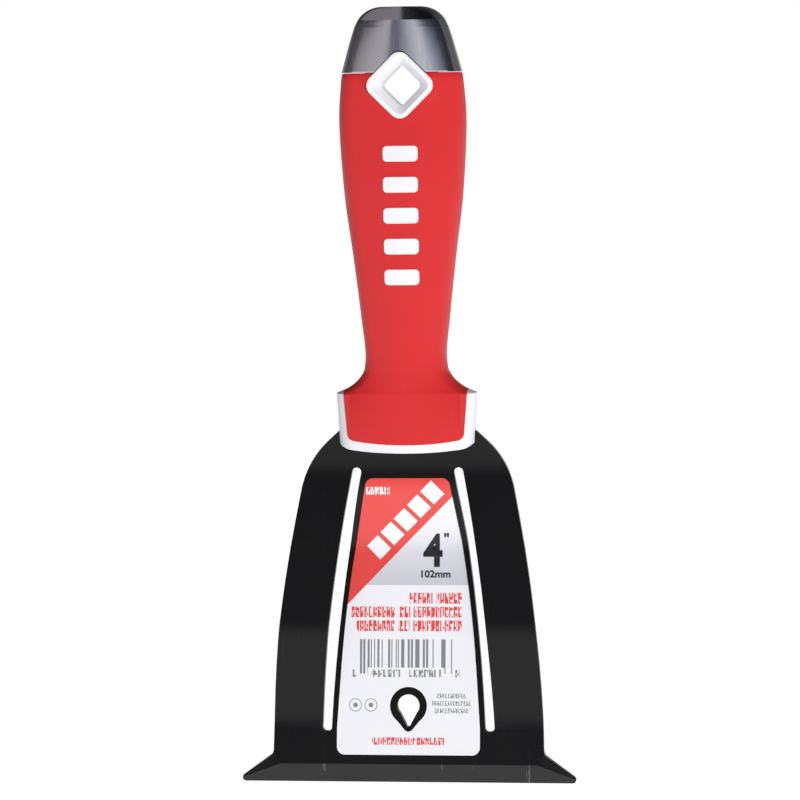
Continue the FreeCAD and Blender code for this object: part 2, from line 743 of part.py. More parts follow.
def layer(name, z_low, z_high):
    """A wide, deep layer between two heights, for trimming."""
    return box(name, "-" + CLEAR_WIDTH, CLEAR_WIDTH, "-" + CLEAR_DEPTH, CLEAR_DEPTH, z_low, z_high)


def build_bush():
    """A white spool with a flange on each face and a barrel through the tang's eye, and the
    hole it needs in the handle."""
    half = cell("bush_half_thickness")
    seat = "(%s - %s)" % (half, cell("bush_flange"))
    rim_outline = diamond(cell("bush_rim_corner"), cell("bush_rim_radius"))
    barrel_outline = diamond(cell("bush_barrel_corner"), cell("bush_barrel_radius"))
    rims = cut("bush_rims", prism("bush_block", "XZ_Plane", rim_outline, THROUGH),
               [slab("bush_waist", "-" + seat, seat)])
    hole = fuse("bush_hole", rims, prism("bush_barrel", "XZ_Plane", barrel_outline, THROUGH))
    spool = common("bush_spool", hole, slab("bush_span", "-" + half, half))
    return hole, cut("hang_bush", spool, [dish("dish_front", 1), dish("dish_rear", -1)])


# ---- handle forms --------------------------------------------------------------------------

def build_forms():
    """The outer skin of the handle, the core's skin under the grip, and the cap's spigot."""
    grip_rows = stations_of(GRIP_STATIONS)
    foot = (size("bolster_foot_height"), size("bolster_foot_half_width"),
            size("bolster_foot_half_thickness"), size("bolster_foot_roundness"))
    blank = oval_loft("handle_blank", grip_rows, foot=foot)
    clear_half_width = "%s + %s" % (cell("collar_half_width"), HANDLE_OVERRUN)
    front_view = prism("handle_front_view", "XZ_Plane", mirrored([
        (clear_half_width, CLEAR_TOP, None),
        (clear_half_width, "%s + %s" % (cell("bolster_top"), HANDLE_OVERRUN), None),
        (cell("bolster_corner_half_width"), cell("bolster_corner_height"), cell("bolster_corner_radius")),
        ("0", cell("bolster_sole_vertex"), cell("bolster_sole_radius")),
    ]), THROUGH)
    skin = common("handle_form", blank, front_view)
    inner = oval_loft("core_form", grip_rows, size("grip_wall"))
    return skin, inner


def inlay_bars():
    """Five plain bars that stand through the front of the grip."""
    count = 5
    half_width = cell("inlay_half_width")
    pitch = "((%s - %s - %s) / %d)" % (
        cell("inlay_top"), cell("inlay_foot"), cell("inlay_bar_height"), count - 1)
    bars = []
    for index in range(count):
        top = "%s - %d * %s" % (cell("inlay_top"), index, pitch)
        foot = "(%s) - %s" % (top, cell("inlay_bar_height"))
        radius = cell("inlay_bar_radius")
        body = doc.addObject("PartDesign::Body", "inlay_bar_%d" % index)
        sketch = new_sketch(body, "inlay_outline_%d" % index, "XZ_Plane", cell("inlay_root_depth"))
        rounded_outline(sketch, mirrored([(half_width, top, radius), (half_width, foot, radius)]))
        add_pad(body, sketch, CLEAR_DEPTH, both_ways=False)
        bars.append(body)
    return bars


def rivet_wells():
    """The wells above the rivet heads, which the grip's material fills."""
    wells = []
    for which in rivet_positions():
        height = cell("rivet_%s_height" % which)
        outside = "2 * %s" % cell("belly_half_thickness")
        head = cell("rivet_half_length")
        wells.append(rod("front_well_" + which, cell("rivet_head_radius"), "-" + head, height, "-" + outside))
        wells.append(rod("rear_well_" + which, cell("rivet_head_radius"), outside, height, head))
    return wells


def build_handle(skin, inner, blade, bush_hole, rivets, spigot):
    """Two nylon shells that close over the tang, with the bolster at their foot, and the soft
    grip that is moulded round them and into the two panels of the bolster."""
    bolster_top = cell("bolster_top")
    bolster_box = layer("bolster_box", CLEAR_FOOT, bolster_top)
    grip_box = layer("grip_box", bolster_top, CLEAR_TOP)
    well_core = cut("well_core", common("upper_core", inner, grip_box), rivet_wells())
    bolster = common("bolster_blank", skin, bolster_box)
    panel = prism("panel_outline", "XZ_Plane", mirrored([
        (cell("panel_top_half_width"), "%s + %s" % (bolster_top, OVERRUN), None),
        (cell("panel_corner_half_width"), cell("panel_corner_height"), cell("panel_corner_radius")),
        ("0", cell("panel_sole_vertex"), cell("panel_sole_radius")),
    ]), THROUGH)
    floor = cell("panel_floor_half_thickness")
    recess = cut("panel_recess", panel, [slab("panel_core", "-" + floor, floor)])
    bolster_core = cut("bolster_core", bolster, [recess])
    proud = oval_loft("inlay_form", stations_of(GRIP_STATIONS), -size("inlay_relief"))
    bar_blank = fuse("inlay_blank", *inlay_bars())
    bars = common("inlay_trimmed", bar_blank, proud)
    whole = fuse("core_blank", well_core, bolster_core, spigot, bars)
    pocketed = cut("core_pocketed", whole, [blade, bush_hole] + rivets)
    core_front = common("core_front", pocketed, slab("front_half", "-" + CLEAR_DEPTH, "0"))
    core_rear = common("core_rear", pocketed, slab("rear_half", "0", CLEAR_DEPTH))
    sleeve = cut("grip_sleeve", common("grip_blank", skin, grip_box),
                 [well_core, bar_blank, bush_hole] + rivets)
    panels = common("grip_panels", bolster, recess)
    return core_front, core_rear, fuse("grip", sleeve, panels)


def build_cap():
    """A drawn steel cap with a thick crown, pressed on the spigot at the end of the core."""
    rows = stations_of(CAP_STATIONS)
    drawn = oval_loft("cap_form", rows, side_flat=size("cap_side_flat"))
    front_view = prism("cap_front_view", "XZ_Plane", mirrored([
        (cell("strike_half_width"), cell("strike_height"), cell("strike_corner_radius")),
        ("%s + %s" % (cell("seam_half_width"), CAP_OVERRUN), cell("seam_height"), None)]), THROUGH)
    side_view = prism("cap_side_view", "YZ_Plane", mirrored([
        (cell("strike_half_thickness"), cell("strike_height"), cell("strike_edge_radius")),
        ("%s + %s" % (cell("seam_half_thickness"), CAP_OVERRUN), cell("seam_height"), None)]), THROUGH)
    cap_form = common("cap_blank", drawn, front_view, side_view)
    spigot_loft = oval_loft("spigot_form", rows, size("cap_wall"))
    ceiling = layer("spigot_ceiling", CLEAR_FOOT, TANG_TOP)
    spigot = common("spigot", spigot_loft, ceiling)
    clearance_outline = diamond("%s + sqrt(2) * %s" % (cell("bush_rim_corner"), cell("bush_clearance")),
                                "%s + %s" % (cell("bush_rim_radius"), cell("bush_clearance")))
    scallop = prism("cap_scallop", "XZ_Plane", clearance_outline, THROUGH)
    return cut("strike_cap", cap_form, [spigot, scallop]), spigot


def build_label():
    """A printed paper label with a clear film, stuck to the wedge strip under the handle."""
    sheet_strip = plate("label_strip", "wedge", "(-%s)" % cell("label_thickness"), "0")
    inwards = "(%s / 2 + %s)" % (cell("slot_width"), cell("label_margin"))
    (top_x, top_z), (middle_x, middle_z), (foot_x, foot_z) = slot_line(inwards)
    radius = cell("label_corner_radius")
    waist_x = "(%s - %s)" % (middle_x, cell("label_waist"))
    outline = prism("label_outline", "XZ_Plane", mirrored([
        (top_x, cell("label_top"), radius),
        (waist_x, middle_z, "%g * %s" % (LABEL_BOW, cell("slot_curve_radius"))),
        (foot_x, foot_z, cell("label_heel_radius")),
        (foot_x, cell("label_foot"), radius)]), THROUGH)
    window_foot = "%s - %s" % (cell("label_window_height"), cell("label_window_drop"))
    window_round = doc.addObject("Part::Cylinder", "window_round")
    window_round.setExpression("Radius", cell("label_window_radius"))
    window_round.setExpression("Height", THROUGH)
    window_round.Placement.Rotation = FreeCAD.Rotation(FreeCAD.Vector(1, 0, 0), 90)
    window_round.setExpression("Placement.Base.y", "%s / 2" % THROUGH)
    window_round.setExpression("Placement.Base.z", cell("label_window_height"))
    reach = cell("label_window_radius")
    # the tail leaves the round window along its tangent
    tail_width = 0.9
    tail_drop = math.sqrt(1 - tail_width ** 2)
    window_tail = prism("window_tail", "XZ_Plane", mirrored([
        ("%g * %s" % (tail_width, reach),
         "%s - %.3f * %s" % (cell("label_window_height"), tail_drop, reach), None),
        ("0", window_foot, cell("label_window_tip_radius"))]), THROUGH)
    return cut("label", common("label_sheet", sheet_strip, outline), [window_round, window_tail])


blade = build_blade()
rivets = build_rivets()
bush_hole, hang_bush = build_bush()
skin, inner = build_forms()
strike_cap, spigot = build_cap()
core_front, core_rear, grip = build_handle(skin, inner, blade, bush_hole, rivets, spigot)
label = build_label()

doc.recompute()

NODES = [blade, core_front, core_rear, hang_bush, grip, strike_cap, label] + rivets


def check_document():
    for item in doc.Objects:
        if "Invalid" in item.State or "Error" in item.State:
            raise RuntimeError("%s did not build: %s" % (item.Label, item.State))
    for node in NODES:
        if node.Shape.isNull() or not node.Shape.isValid():
            raise RuntimeError("%s has no valid shape" % node.Label)


check_document()
os.makedirs("parts", exist_ok=True)
for node in NODES:
    node.Shape.exportStep("parts/%s.step" % node.Label)
    bounds = node.Shape.BoundBox
    print("%-20s solids %d volume %9.1f  x %6.1f..%6.1f  y %6.1f..%6.1f  z %7.1f..%7.1f" % (
        node.Label, len(node.Shape.Solids), node.Shape.Volume, bounds.XMin, bounds.XMax,
        bounds.YMin, bounds.YMax, bounds.ZMin, bounds.ZMax))
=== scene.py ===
import math

import bmesh
import bpy
from mathutils import Matrix, Vector


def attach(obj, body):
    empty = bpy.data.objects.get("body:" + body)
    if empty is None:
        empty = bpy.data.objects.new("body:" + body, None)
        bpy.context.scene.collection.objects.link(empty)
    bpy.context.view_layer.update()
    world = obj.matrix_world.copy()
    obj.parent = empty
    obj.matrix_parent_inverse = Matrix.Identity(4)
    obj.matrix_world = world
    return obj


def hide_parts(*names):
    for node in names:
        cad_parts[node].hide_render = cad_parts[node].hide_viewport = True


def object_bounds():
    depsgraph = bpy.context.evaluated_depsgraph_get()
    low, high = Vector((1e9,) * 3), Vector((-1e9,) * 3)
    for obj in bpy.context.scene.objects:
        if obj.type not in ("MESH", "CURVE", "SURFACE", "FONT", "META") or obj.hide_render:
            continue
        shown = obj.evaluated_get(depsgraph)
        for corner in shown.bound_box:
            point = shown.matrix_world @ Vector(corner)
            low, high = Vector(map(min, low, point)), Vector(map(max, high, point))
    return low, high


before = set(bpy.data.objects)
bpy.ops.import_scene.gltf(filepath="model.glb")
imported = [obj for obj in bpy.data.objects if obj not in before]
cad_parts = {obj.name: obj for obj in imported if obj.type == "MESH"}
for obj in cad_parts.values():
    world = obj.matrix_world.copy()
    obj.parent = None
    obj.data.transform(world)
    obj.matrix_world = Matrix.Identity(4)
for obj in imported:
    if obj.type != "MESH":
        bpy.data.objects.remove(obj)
cad_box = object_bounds()


# ---- studio --------------------------------------------------------------------------------
# A pale floor, one soft key low at the front right, and a plain white sweep. What the steel
# and the black paint mirror is a darker studio with a grey card on the left, a pale window at
# the front right and a light wall on the far right.

MM = 0.001


def look_from(name, azimuth, elevation, distance, target, roll, lens):
    """A camera on a tripod, by where it stands round the tool."""
    turn = math.radians(azimuth)
    rise = math.radians(elevation)
    back = Vector((math.sin(turn) * math.cos(rise), -math.cos(turn) * math.cos(rise), math.sin(rise)))
    right = Vector((math.cos(turn), math.sin(turn), 0))
    up = back.cross(right)
    lean = math.radians(roll)
    tilted_right = right * math.cos(lean) - up * math.sin(lean)
    tilted_up = right * math.sin(lean) + up * math.cos(lean)
    data = bpy.data.cameras.new(name)
    data.lens = lens
    data.sensor_width = 36
    data.clip_start = 0.05
    data.clip_end = 200
    camera = bpy.data.objects.new(name, data)
    axes = Matrix((tilted_right, tilted_up, back)).transposed().to_4x4()
    camera.matrix_world = Matrix.Translation(Vector(target) + back * distance) @ axes
    bpy.context.scene.collection.objects.link(camera)
    return camera


bpy.context.scene.camera = look_from("camera", azimuth=6, elevation=5.8, distance=0.907,
                                     target=(-2.11 * MM, 0, -94.6 * MM), roll=0.85, lens=135)
bpy.context.scene.view_settings.view_transform = "Standard"

bpy.ops.object.select_all(action="DESELECT")
FLOOR_HEIGHT = cad_box[0][2] - 0.1 * MM
FLOOR_WIDTH = 60
bpy.ops.mesh.primitive_plane_add(size=FLOOR_WIDTH, location=(0, 0, FLOOR_HEIGHT))
floor = bpy.context.object
floor.name = "floor"
paint = bpy.data.materials.new("floor_paint")
paint.use_nodes = True
for socket, value in (("Base Color", (0.35, 0.35, 0.35, 1)), ("Roughness", 0.9),
                      ("Emission Color", (1, 1, 1, 1)), ("Emission Strength", 0.97)):
    paint.node_tree.nodes["Principled BSDF"].inputs[socket].default_value = value
floor.data.materials.append(paint)


def add_sun(name, azimuth, elevation, spread, strength):
    """A soft lamp far away, by where it stands round the tool."""
    turn = math.radians(azimuth)
    rise = math.radians(elevation)
    data = bpy.data.lights.new(name, "SUN")
    data.angle = math.radians(spread)
    data.energy = strength
    lamp = bpy.data.objects.new(name, data)
    towards = Vector((math.sin(turn) * math.cos(rise), -math.cos(turn) * math.cos(rise), math.sin(rise)))
    lamp.rotation_euler = towards.to_track_quat("Z", "Y").to_euler()
    bpy.context.scene.collection.objects.link(lamp)
    return lamp


key = add_sun("key", azimuth=27, elevation=5, spread=24, strength=2.6)
key.visible_glossy = False

world = bpy.data.worlds.new("studio")
bpy.context.scene.world = world
world.use_nodes = True
sky = world.node_tree
sky.nodes.clear()


def math_node(tree, operation, first, second=None):
    """One step of arithmetic on two values, each a number or an output."""
    node = tree.nodes.new("ShaderNodeMath")
    node.operation = operation
    for socket, value in zip(node.inputs, (first, second)):
        if value is None:
            continue
        if isinstance(value, (int, float)):
            socket.default_value = value
        else:
            tree.links.new(value, socket)
    return node.outputs[0]


def ramp_node(tree, value, stops):
    """A colour ramp from positions and colours."""
    node = tree.nodes.new("ShaderNodeValToRGB")
    while len(node.color_ramp.elements) < len(stops):
        node.color_ramp.elements.new(1)
    for element, (position, color) in zip(node.color_ramp.elements, stops):
        element.position = position
        element.color = (*color, 1)
    tree.links.new(value, node.inputs["Fac"])
    return node.outputs["Color"]


# the bearing round the tool and the height above it, each from 0 to 1
direction = sky.nodes.new("ShaderNodeTexCoord").outputs["Generated"]
split = sky.nodes.new("ShaderNodeSeparateXYZ")
sky.links.new(direction, split.inputs[0])
bearing = math_node(sky, "ARCTAN2", split.outputs["X"], math_node(sky, "MULTIPLY", split.outputs["Y"], -1))
bearing = math_node(sky, "ADD", math_node(sky, "DIVIDE", bearing, math.tau), 0.5)
height = math_node(sky, "ADD", math_node(sky, "DIVIDE", math_node(sky, "ARCSINE", split.outputs["Z"]),
                                         math.pi), 0.5)


def at_bearing(degrees):
    """The place of a bearing on its ramp: 0 is the front and 90 the right."""
    return degrees / 360 + 0.5


def at_elevation(degrees):
    """The place of an elevation on its ramp: 0 is level and 90 overhead."""
    return degrees / 180 + 0.5


walls = ramp_node(sky, bearing, [
    (at_bearing(-180), (0.10, 0.10, 0.11)),
    (at_bearing(-158), (0.10, 0.10, 0.11)),
    (at_bearing(-140), (0.42, 0.41, 0.44)),
    (at_bearing(-16), (0.64, 0.61, 0.67)),
    (at_bearing(-14), (0.13, 0.14, 0.18)),
    (at_bearing(-6), (0.20, 0.21, 0.28)),
    (at_bearing(13), (0.92, 0.94, 1.0)),
    (at_bearing(22), (0.50, 0.54, 0.68)),
    (at_bearing(32), (0.22, 0.24, 0.33)),
    (at_bearing(80), (0.22, 0.24, 0.33)),
    (at_bearing(90), (1.0, 0.98, 0.98)),
    (at_bearing(180), (0.70, 0.70, 0.72)),
])
ceiling = ramp_node(sky, height, [
    (at_elevation(-90), (1.0, 1.0, 1.0)),
    (at_elevation(7.5), (1.0, 1.0, 1.0)),
    (at_elevation(12), (0.18, 0.18, 0.18)),
    (at_elevation(40), (0.10, 0.10, 0.12)),
    (at_elevation(70), (0.03, 0.04, 0.06)),
])
# a tall grey card on the left leans over the tool, so it shows above the walls as well
card = ramp_node(sky, bearing, [
    (at_bearing(-150), (0.0, 0.0, 0.0)),
    (at_bearing(-140), (0.5, 0.5, 0.5)),
    (at_bearing(-16), (0.5, 0.5, 0.5)),
    (at_bearing(-14), (0.0, 0.0, 0.0)),
])
card_foot = ramp_node(sky, height, [
    (at_elevation(25), (0.0, 0.0, 0.0)),
    (at_elevation(40), (1.0, 1.0, 1.0)),
])
lifted = math_node(sky, "MAXIMUM", ceiling, math_node(sky, "MULTIPLY", card, card_foot))
tint = sky.nodes.new("ShaderNodeMix")
tint.data_type = "RGBA"
tint.blend_type = "MULTIPLY"
tint.inputs["Factor"].default_value = 1
sky.links.new(walls, tint.inputs["A"])
sky.links.new(lifted, tint.inputs["B"])
room = sky.nodes.new("ShaderNodeBackground")
sky.links.new(tint.outputs["Result"], room.inputs["Color"])
sweep = sky.nodes.new("ShaderNodeBackground")
sweep.inputs["Color"].default_value = (1, 1, 1, 1)
choose = sky.nodes.new("ShaderNodeMixShader")
path = sky.nodes.new("ShaderNodeLightPath")
sky.links.new(path.outputs["Is Camera Ray"], choose.inputs["Fac"])
# the walls are bright to look at and weaker as lamps, which keeps the shading deep
FILL = 0.45
shade = math_node(sky, "MULTIPLY", path.outputs["Is Diffuse Ray"], 1 - FILL)
sky.links.new(math_node(sky, "SUBTRACT", 1.0, shade), room.inputs["Strength"])
sky.links.new(room.outputs[0], choose.inputs[1])
sky.links.new(sweep.outputs[0], choose.inputs[2])
sky.links.new(choose.outputs[0], sky.nodes.new("ShaderNodeOutputWorld").inputs["Surface"])


# ---- pry blade -----------------------------------------------------------------------------
# One stamping of 2.5 mm spring steel, bent into a wedge between two relief slots, ground to a
# bevel along the pry edge, then dipped in black paint. Its tang runs up inside the handle.

def take(piece):
    """Leaves one object selected and active."""
    bpy.ops.object.select_all(action="DESELECT")
    piece.select_set(True)
    bpy.context.view_layer.objects.active = piece


SEAM_GAP = 0.002 * MM
FLATNESS = math.radians(0.6)


def copy_of_node(node, name):
    """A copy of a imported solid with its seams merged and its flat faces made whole."""
    piece = bpy.data.objects.new(name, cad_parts[node].data.copy())
    bpy.context.scene.collection.objects.link(piece)
    take(piece)
    bpy.ops.object.mode_set(mode="EDIT")
    bpy.ops.mesh.select_all(action="SELECT")
    bpy.ops.mesh.remove_doubles(threshold=SEAM_GAP)
    bpy.ops.mesh.dissolve_limited(angle_limit=FLATNESS)
    bpy.ops.object.mode_set(mode="OBJECT")
    piece.data.materials.clear()
    return piece


def finish_with(piece, kind, **settings):
    """Adds a modifier with its settings and applies it."""
    take(piece)
    modifier = piece.modifiers.new(kind.lower(), kind)
    for setting, value in settings.items():
        setattr(modifier, setting, value)
    bpy.ops.object.modifier_apply(modifier=modifier.name)


def smooth(piece, degrees=32):
    """Shades a piece smooth, with sharp edges where its faces meet at more than the angle."""
    take(piece)
    bpy.ops.object.shade_smooth_by_angle(angle=math.radians(degrees))


def new_group(name, inputs, outputs):
    """An empty shader node group with named number inputs and outputs."""
    group = bpy.data.node_groups.new(name, "ShaderNodeTree")
    for label, value in inputs.items():
        socket = group.interface.new_socket(label, in_out="INPUT", socket_type="NodeSocketFloat")
        socket.default_value = value
    for label in outputs:
        group.interface.new_socket(label, in_out="OUTPUT", socket_type="NodeSocketFloat")
    return group, group.nodes.new("NodeGroupInput"), group.nodes.new("NodeGroupOutput")


def noise_node(tree, vector, scale, detail, roughness):
    """A noise mask; the scale is a number or an output."""
    node = tree.nodes.new("ShaderNodeTexNoise")
    tree.links.new(vector, node.inputs["Vector"])
    for socket, value in (("Scale", scale), ("Detail", detail), ("Roughness", roughness)):
        if isinstance(value, (int, float)):
            node.inputs[socket].default_value = value
        else:
            tree.links.new(value, node.inputs[socket])
    return node.outputs["Fac"]


def stretched(tree, vector, factors):
    """Object coordinates stretched by a factor along each axis."""
    node = tree.nodes.new("ShaderNodeMapping")
    node.inputs["Scale"].default_value = factors
    tree.links.new(vector, node.inputs["Vector"])
    return node.outputs["Vector"]


def range_node(tree, value, low, high, to_low, to_high):
    """Carries a value from one range to another."""
    node = tree.nodes.new("ShaderNodeMapRange")
    for socket, number in (("From Min", low), ("From Max", high), ("To Min", to_low), ("To Max", to_high)):
        node.inputs[socket].default_value = number
    tree.links.new(value, node.inputs["Value"])
    return node.outputs["Result"]


# a noise mask lies mostly between these two values
NOISE_LOW, NOISE_HIGH = 0.3, 0.7

# the fine grain that every moulded, painted or drawn surface has: a height and a cloudy mask
GRAIN, grain_in, grain_out = new_group("surface_grain", {"Grain Scale": 2000, "Cloud Scale": 60},
                                       ("Height", "Cloud"))
grain_place = GRAIN.nodes.new("ShaderNodeTexCoord").outputs["Object"]
fine_grain = noise_node(GRAIN, grain_place, grain_in.outputs["Grain Scale"], detail=3.0, roughness=0.6)
GRAIN.links.new(fine_grain, grain_out.inputs["Height"])
clouds = noise_node(GRAIN, grain_place, grain_in.outputs["Cloud Scale"], detail=4.0, roughness=0.55)
GRAIN.links.new(clouds, grain_out.inputs["Cloud"])

# thin scratches that run one way, as a mask: fine grinding lines and a few long marks
MARKS, marks_in, marks_out = new_group("grinding_marks", {"Line Scale": 1200, "Threshold": 0.68},
                                       ("Lines", "Scratches"))
marks_place = MARKS.nodes.new("ShaderNodeTexCoord").outputs["Object"]
LINE_STRETCH, SCRATCH_STRETCH = 0.04, 0.1
SCRATCH_SCALE = 420
line_place = stretched(MARKS, marks_place, (1, 1, LINE_STRETCH))
line_noise = noise_node(MARKS, line_place, marks_in.outputs["Line Scale"], detail=2.0, roughness=0.7)
MARKS.links.new(line_noise, marks_out.inputs["Lines"])
scratch_place = stretched(MARKS, marks_place, (1, 1, SCRATCH_STRETCH))
scratch_noise = noise_node(MARKS, scratch_place, SCRATCH_SCALE, detail=3.0, roughness=0.6)
MARKS.links.new(math_node(MARKS, "GREATER_THAN", scratch_noise, marks_in.outputs["Threshold"]),
                marks_out.inputs["Scratches"])


def place_group(material, group, **settings):
    """Puts a group in a material, with its settings, and gives its outputs."""
    node = material.node_tree.nodes.new("ShaderNodeGroup")
    node.node_tree = group
    for name, value in settings.items():
        node.inputs[name.replace("_", " ")].default_value = value
    return node.outputs


def new_material(name, roughness, **constants):
    """A material and its Principled shader, with the constants set on the shader itself."""
    material = bpy.data.materials.new(name)
    material.use_nodes = True
    shader = material.node_tree.nodes["Principled BSDF"]
    shader.inputs["Roughness"].default_value = roughness
    for socket, value in constants.items():
        shader.inputs[socket.replace("_", " ")].default_value = value
    return material, shader


def blend_colors(material, factor, first, second):
    """Mixes two colours by a mask; each is a colour or an output."""
    node = material.node_tree.nodes.new("ShaderNodeMix")
    node.data_type = "RGBA"
    for socket, value in (("Factor", factor), ("A", first), ("B", second)):
        if isinstance(value, tuple):
            node.inputs[socket].default_value = (*value, 1)
        else:
            material.node_tree.links.new(value, node.inputs[socket])
    return node.outputs["Result"]


def bump(material, shader, height, distance, strength=1.0):
    """Turns a height mask into relief of so much."""
    node = material.node_tree.nodes.new("ShaderNodeBump")
    node.inputs["Distance"].default_value = distance
    node.inputs["Strength"].default_value = strength
    material.node_tree.links.new(height, node.inputs["Height"])
    material.node_tree.links.new(node.outputs["Normal"], shader.inputs["Normal"])


# the grinding lines count this much against the grain of the paint in its relief
LINE_WEIGHT = 1.5
COAT_RELIEF = 0.006 * MM


def coat_material(name, dark, light, roughness, marks_share, gloss):
    """Black dipped paint; the share sets how much of the grinding shows through it."""
    material, shader = new_material(name, roughness, Specular_IOR_Level=gloss)
    tree = material.node_tree
    grain = place_group(material, GRAIN, Grain_Scale=900, Cloud_Scale=45)
    marks = place_group(material, MARKS, Line_Scale=1500, Threshold=0.66)
    wear = math_node(tree, "MULTIPLY", marks["Scratches"], marks_share)
    tree.links.new(blend_colors(material, wear, dark, light), shader.inputs["Base Color"])
    cloudy = range_node(tree, grain["Cloud"], NOISE_LOW, NOISE_HIGH, roughness - 0.04, roughness + 0.05)
    tree.links.new(cloudy, shader.inputs["Roughness"])
    lines = math_node(tree, "MULTIPLY", marks["Lines"], marks_share * LINE_WEIGHT)
    bump(material, shader, math_node(tree, "ADD", grain["Height"], lines), COAT_RELIEF)
    return material


EDGE_ROUNDING = 0.22
SHARP_EDGE = math.radians(35)
pry_blade = copy_of_node("blade", "pry_blade")
finish_with(pry_blade, "BEVEL", width=EDGE_ROUNDING * MM, segments=2, limit_method="ANGLE",
            angle_limit=SHARP_EDGE, harden_normals=True, use_clamp_overlap=True)
black_coat = coat_material("black_coat", dark=(0.0035, 0.0035, 0.0038), light=(0.03, 0.03, 0.032),
                           roughness=0.33, marks_share=0.12, gloss=0.3)
bevel_coat = coat_material("bevel_coat", dark=(0.008, 0.008, 0.009), light=(0.12, 0.12, 0.125),
                           roughness=0.36, marks_share=0.5, gloss=0.5)
pry_blade.data.materials.append(black_coat)
pry_blade.data.materials.append(bevel_coat)
# the ground bevel: the faces below this height that look to the front, level or a little down
BEVEL_TOP = -203.5 * MM
FRONT_LOOK = -0.9
LOWEST_LOOK, HIGHEST_LOOK = -0.3, 0.05
for face in pry_blade.data.polygons:
    looks_ahead = face.normal.y < FRONT_LOOK and LOWEST_LOOK < face.normal.z < HIGHEST_LOOK
    if face.center.z < BEVEL_TOP and looks_ahead:
        face.material_index = 1
smooth(pry_blade, degrees=30)
finish_with(pry_blade, "WEIGHTED_NORMAL", keep_sharp=True, weight=100)
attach(pry_blade, "root")
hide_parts("blade")


# ---- tang rivets ---------------------------------------------------------------------------
# Three plain steel rivets, turned with flat heads and set through the core and the tang. They
# are buried under the soft grip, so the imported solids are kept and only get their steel.

rivet_steel, rivet_shader = new_material("rivet_steel", 0.4, Metallic=1.0)
rivet_grain = place_group(rivet_steel, GRAIN, Grain_Scale=2500, Cloud_Scale=300)
rivet_steel.node_tree.links.new(
    blend_colors(rivet_steel, rivet_grain["Cloud"], (0.42, 0.42, 0.43), (0.62, 0.62, 0.63)),
    rivet_shader.inputs["Base Color"])
for which in ("upper", "middle", "lower"):
    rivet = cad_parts["tang_rivet_" + which]
    rivet.data.materials.clear()
    rivet.data.materials.append(rivet_steel)


# ---- bolster -------------------------------------------------------------------------------
# The foot of the white nylon core: a collar round the tang whose front and rear faces carry a
# recessed panel, so that it shows as a U of white round the red grip.

# sections of the handle, in mm: height, half width and half thickness
GRIP_SECTIONS = [
    (3.8, 18.2, 8.3), (-10.0, 19.15, 8.95), (-30.0, 18.1, 10.0), (-52.0, 15.4, 9.8),
    (-70.0, 13.35, 9.0), (-81.0, 12.3, 8.5), (-85.0, 12.7, 8.45), (-88.0, 14.4, 8.5),
    (-90.6, 17.5, 8.6), (-92.3, 21.3, 8.7),
]
BOLSTER_FOOT = (-113.0, 20.3, 8.2)
BOLSTER_TOP = -90.6
SIDE_ROUNDNESS = 0.78
SIDE_STEPS = 22
CROWN_STEPS = 26
CORNER_STEPS = 12
POINT_SIZE = 0.01 * MM
MERGE_GAP = 0.01 * MM
SAME_PLACE = 0.001 * MM


def eased(places, values, place):
    """A smooth curve through the sections that never overshoots between two of them."""
    spans = [b - a for a, b in zip(places, places[1:])]
    slopes = [(b - a) / span for a, b, span in zip(values, values[1:], spans)]
    tangents = [slopes[0]]
    for left, right in zip(slopes, slopes[1:]):
        tangents.append(2 * left * right / (left + right) if left * right > 0 else 0.0)
    tangents.append(slopes[-1])
    index = max(i for i in range(len(spans)) if i == 0 or places[i] <= place)
    span = spans[index]
    share = (place - places[index]) / span
    return (values[index] * (1 + 2 * share) * (1 - share) ** 2
            + values[index + 1] * share ** 2 * (3 - 2 * share)
            + tangents[index] * span * share * (1 - share) ** 2
            + tangents[index + 1] * span * share ** 2 * (share - 1))


def section_at(sections, height):
    """Half width and half thickness of a sculpted form at a height."""
    rising = sorted(sections)
    heights = [row[0] for row in rising]
    return (eased(heights, [row[1] for row in rising], height),
            eased(heights, [row[2] for row in rising], height))


def single_point(name):
    """A new piece in edit mode, with one point at the origin."""
    bpy.ops.object.select_all(action="DESELECT")
    bpy.ops.mesh.primitive_plane_add(size=POINT_SIZE)
    piece = bpy.context.object
    piece.name = name
    bpy.ops.object.mode_set(mode="EDIT")
    bpy.ops.mesh.merge(type="CENTER")
    return piece


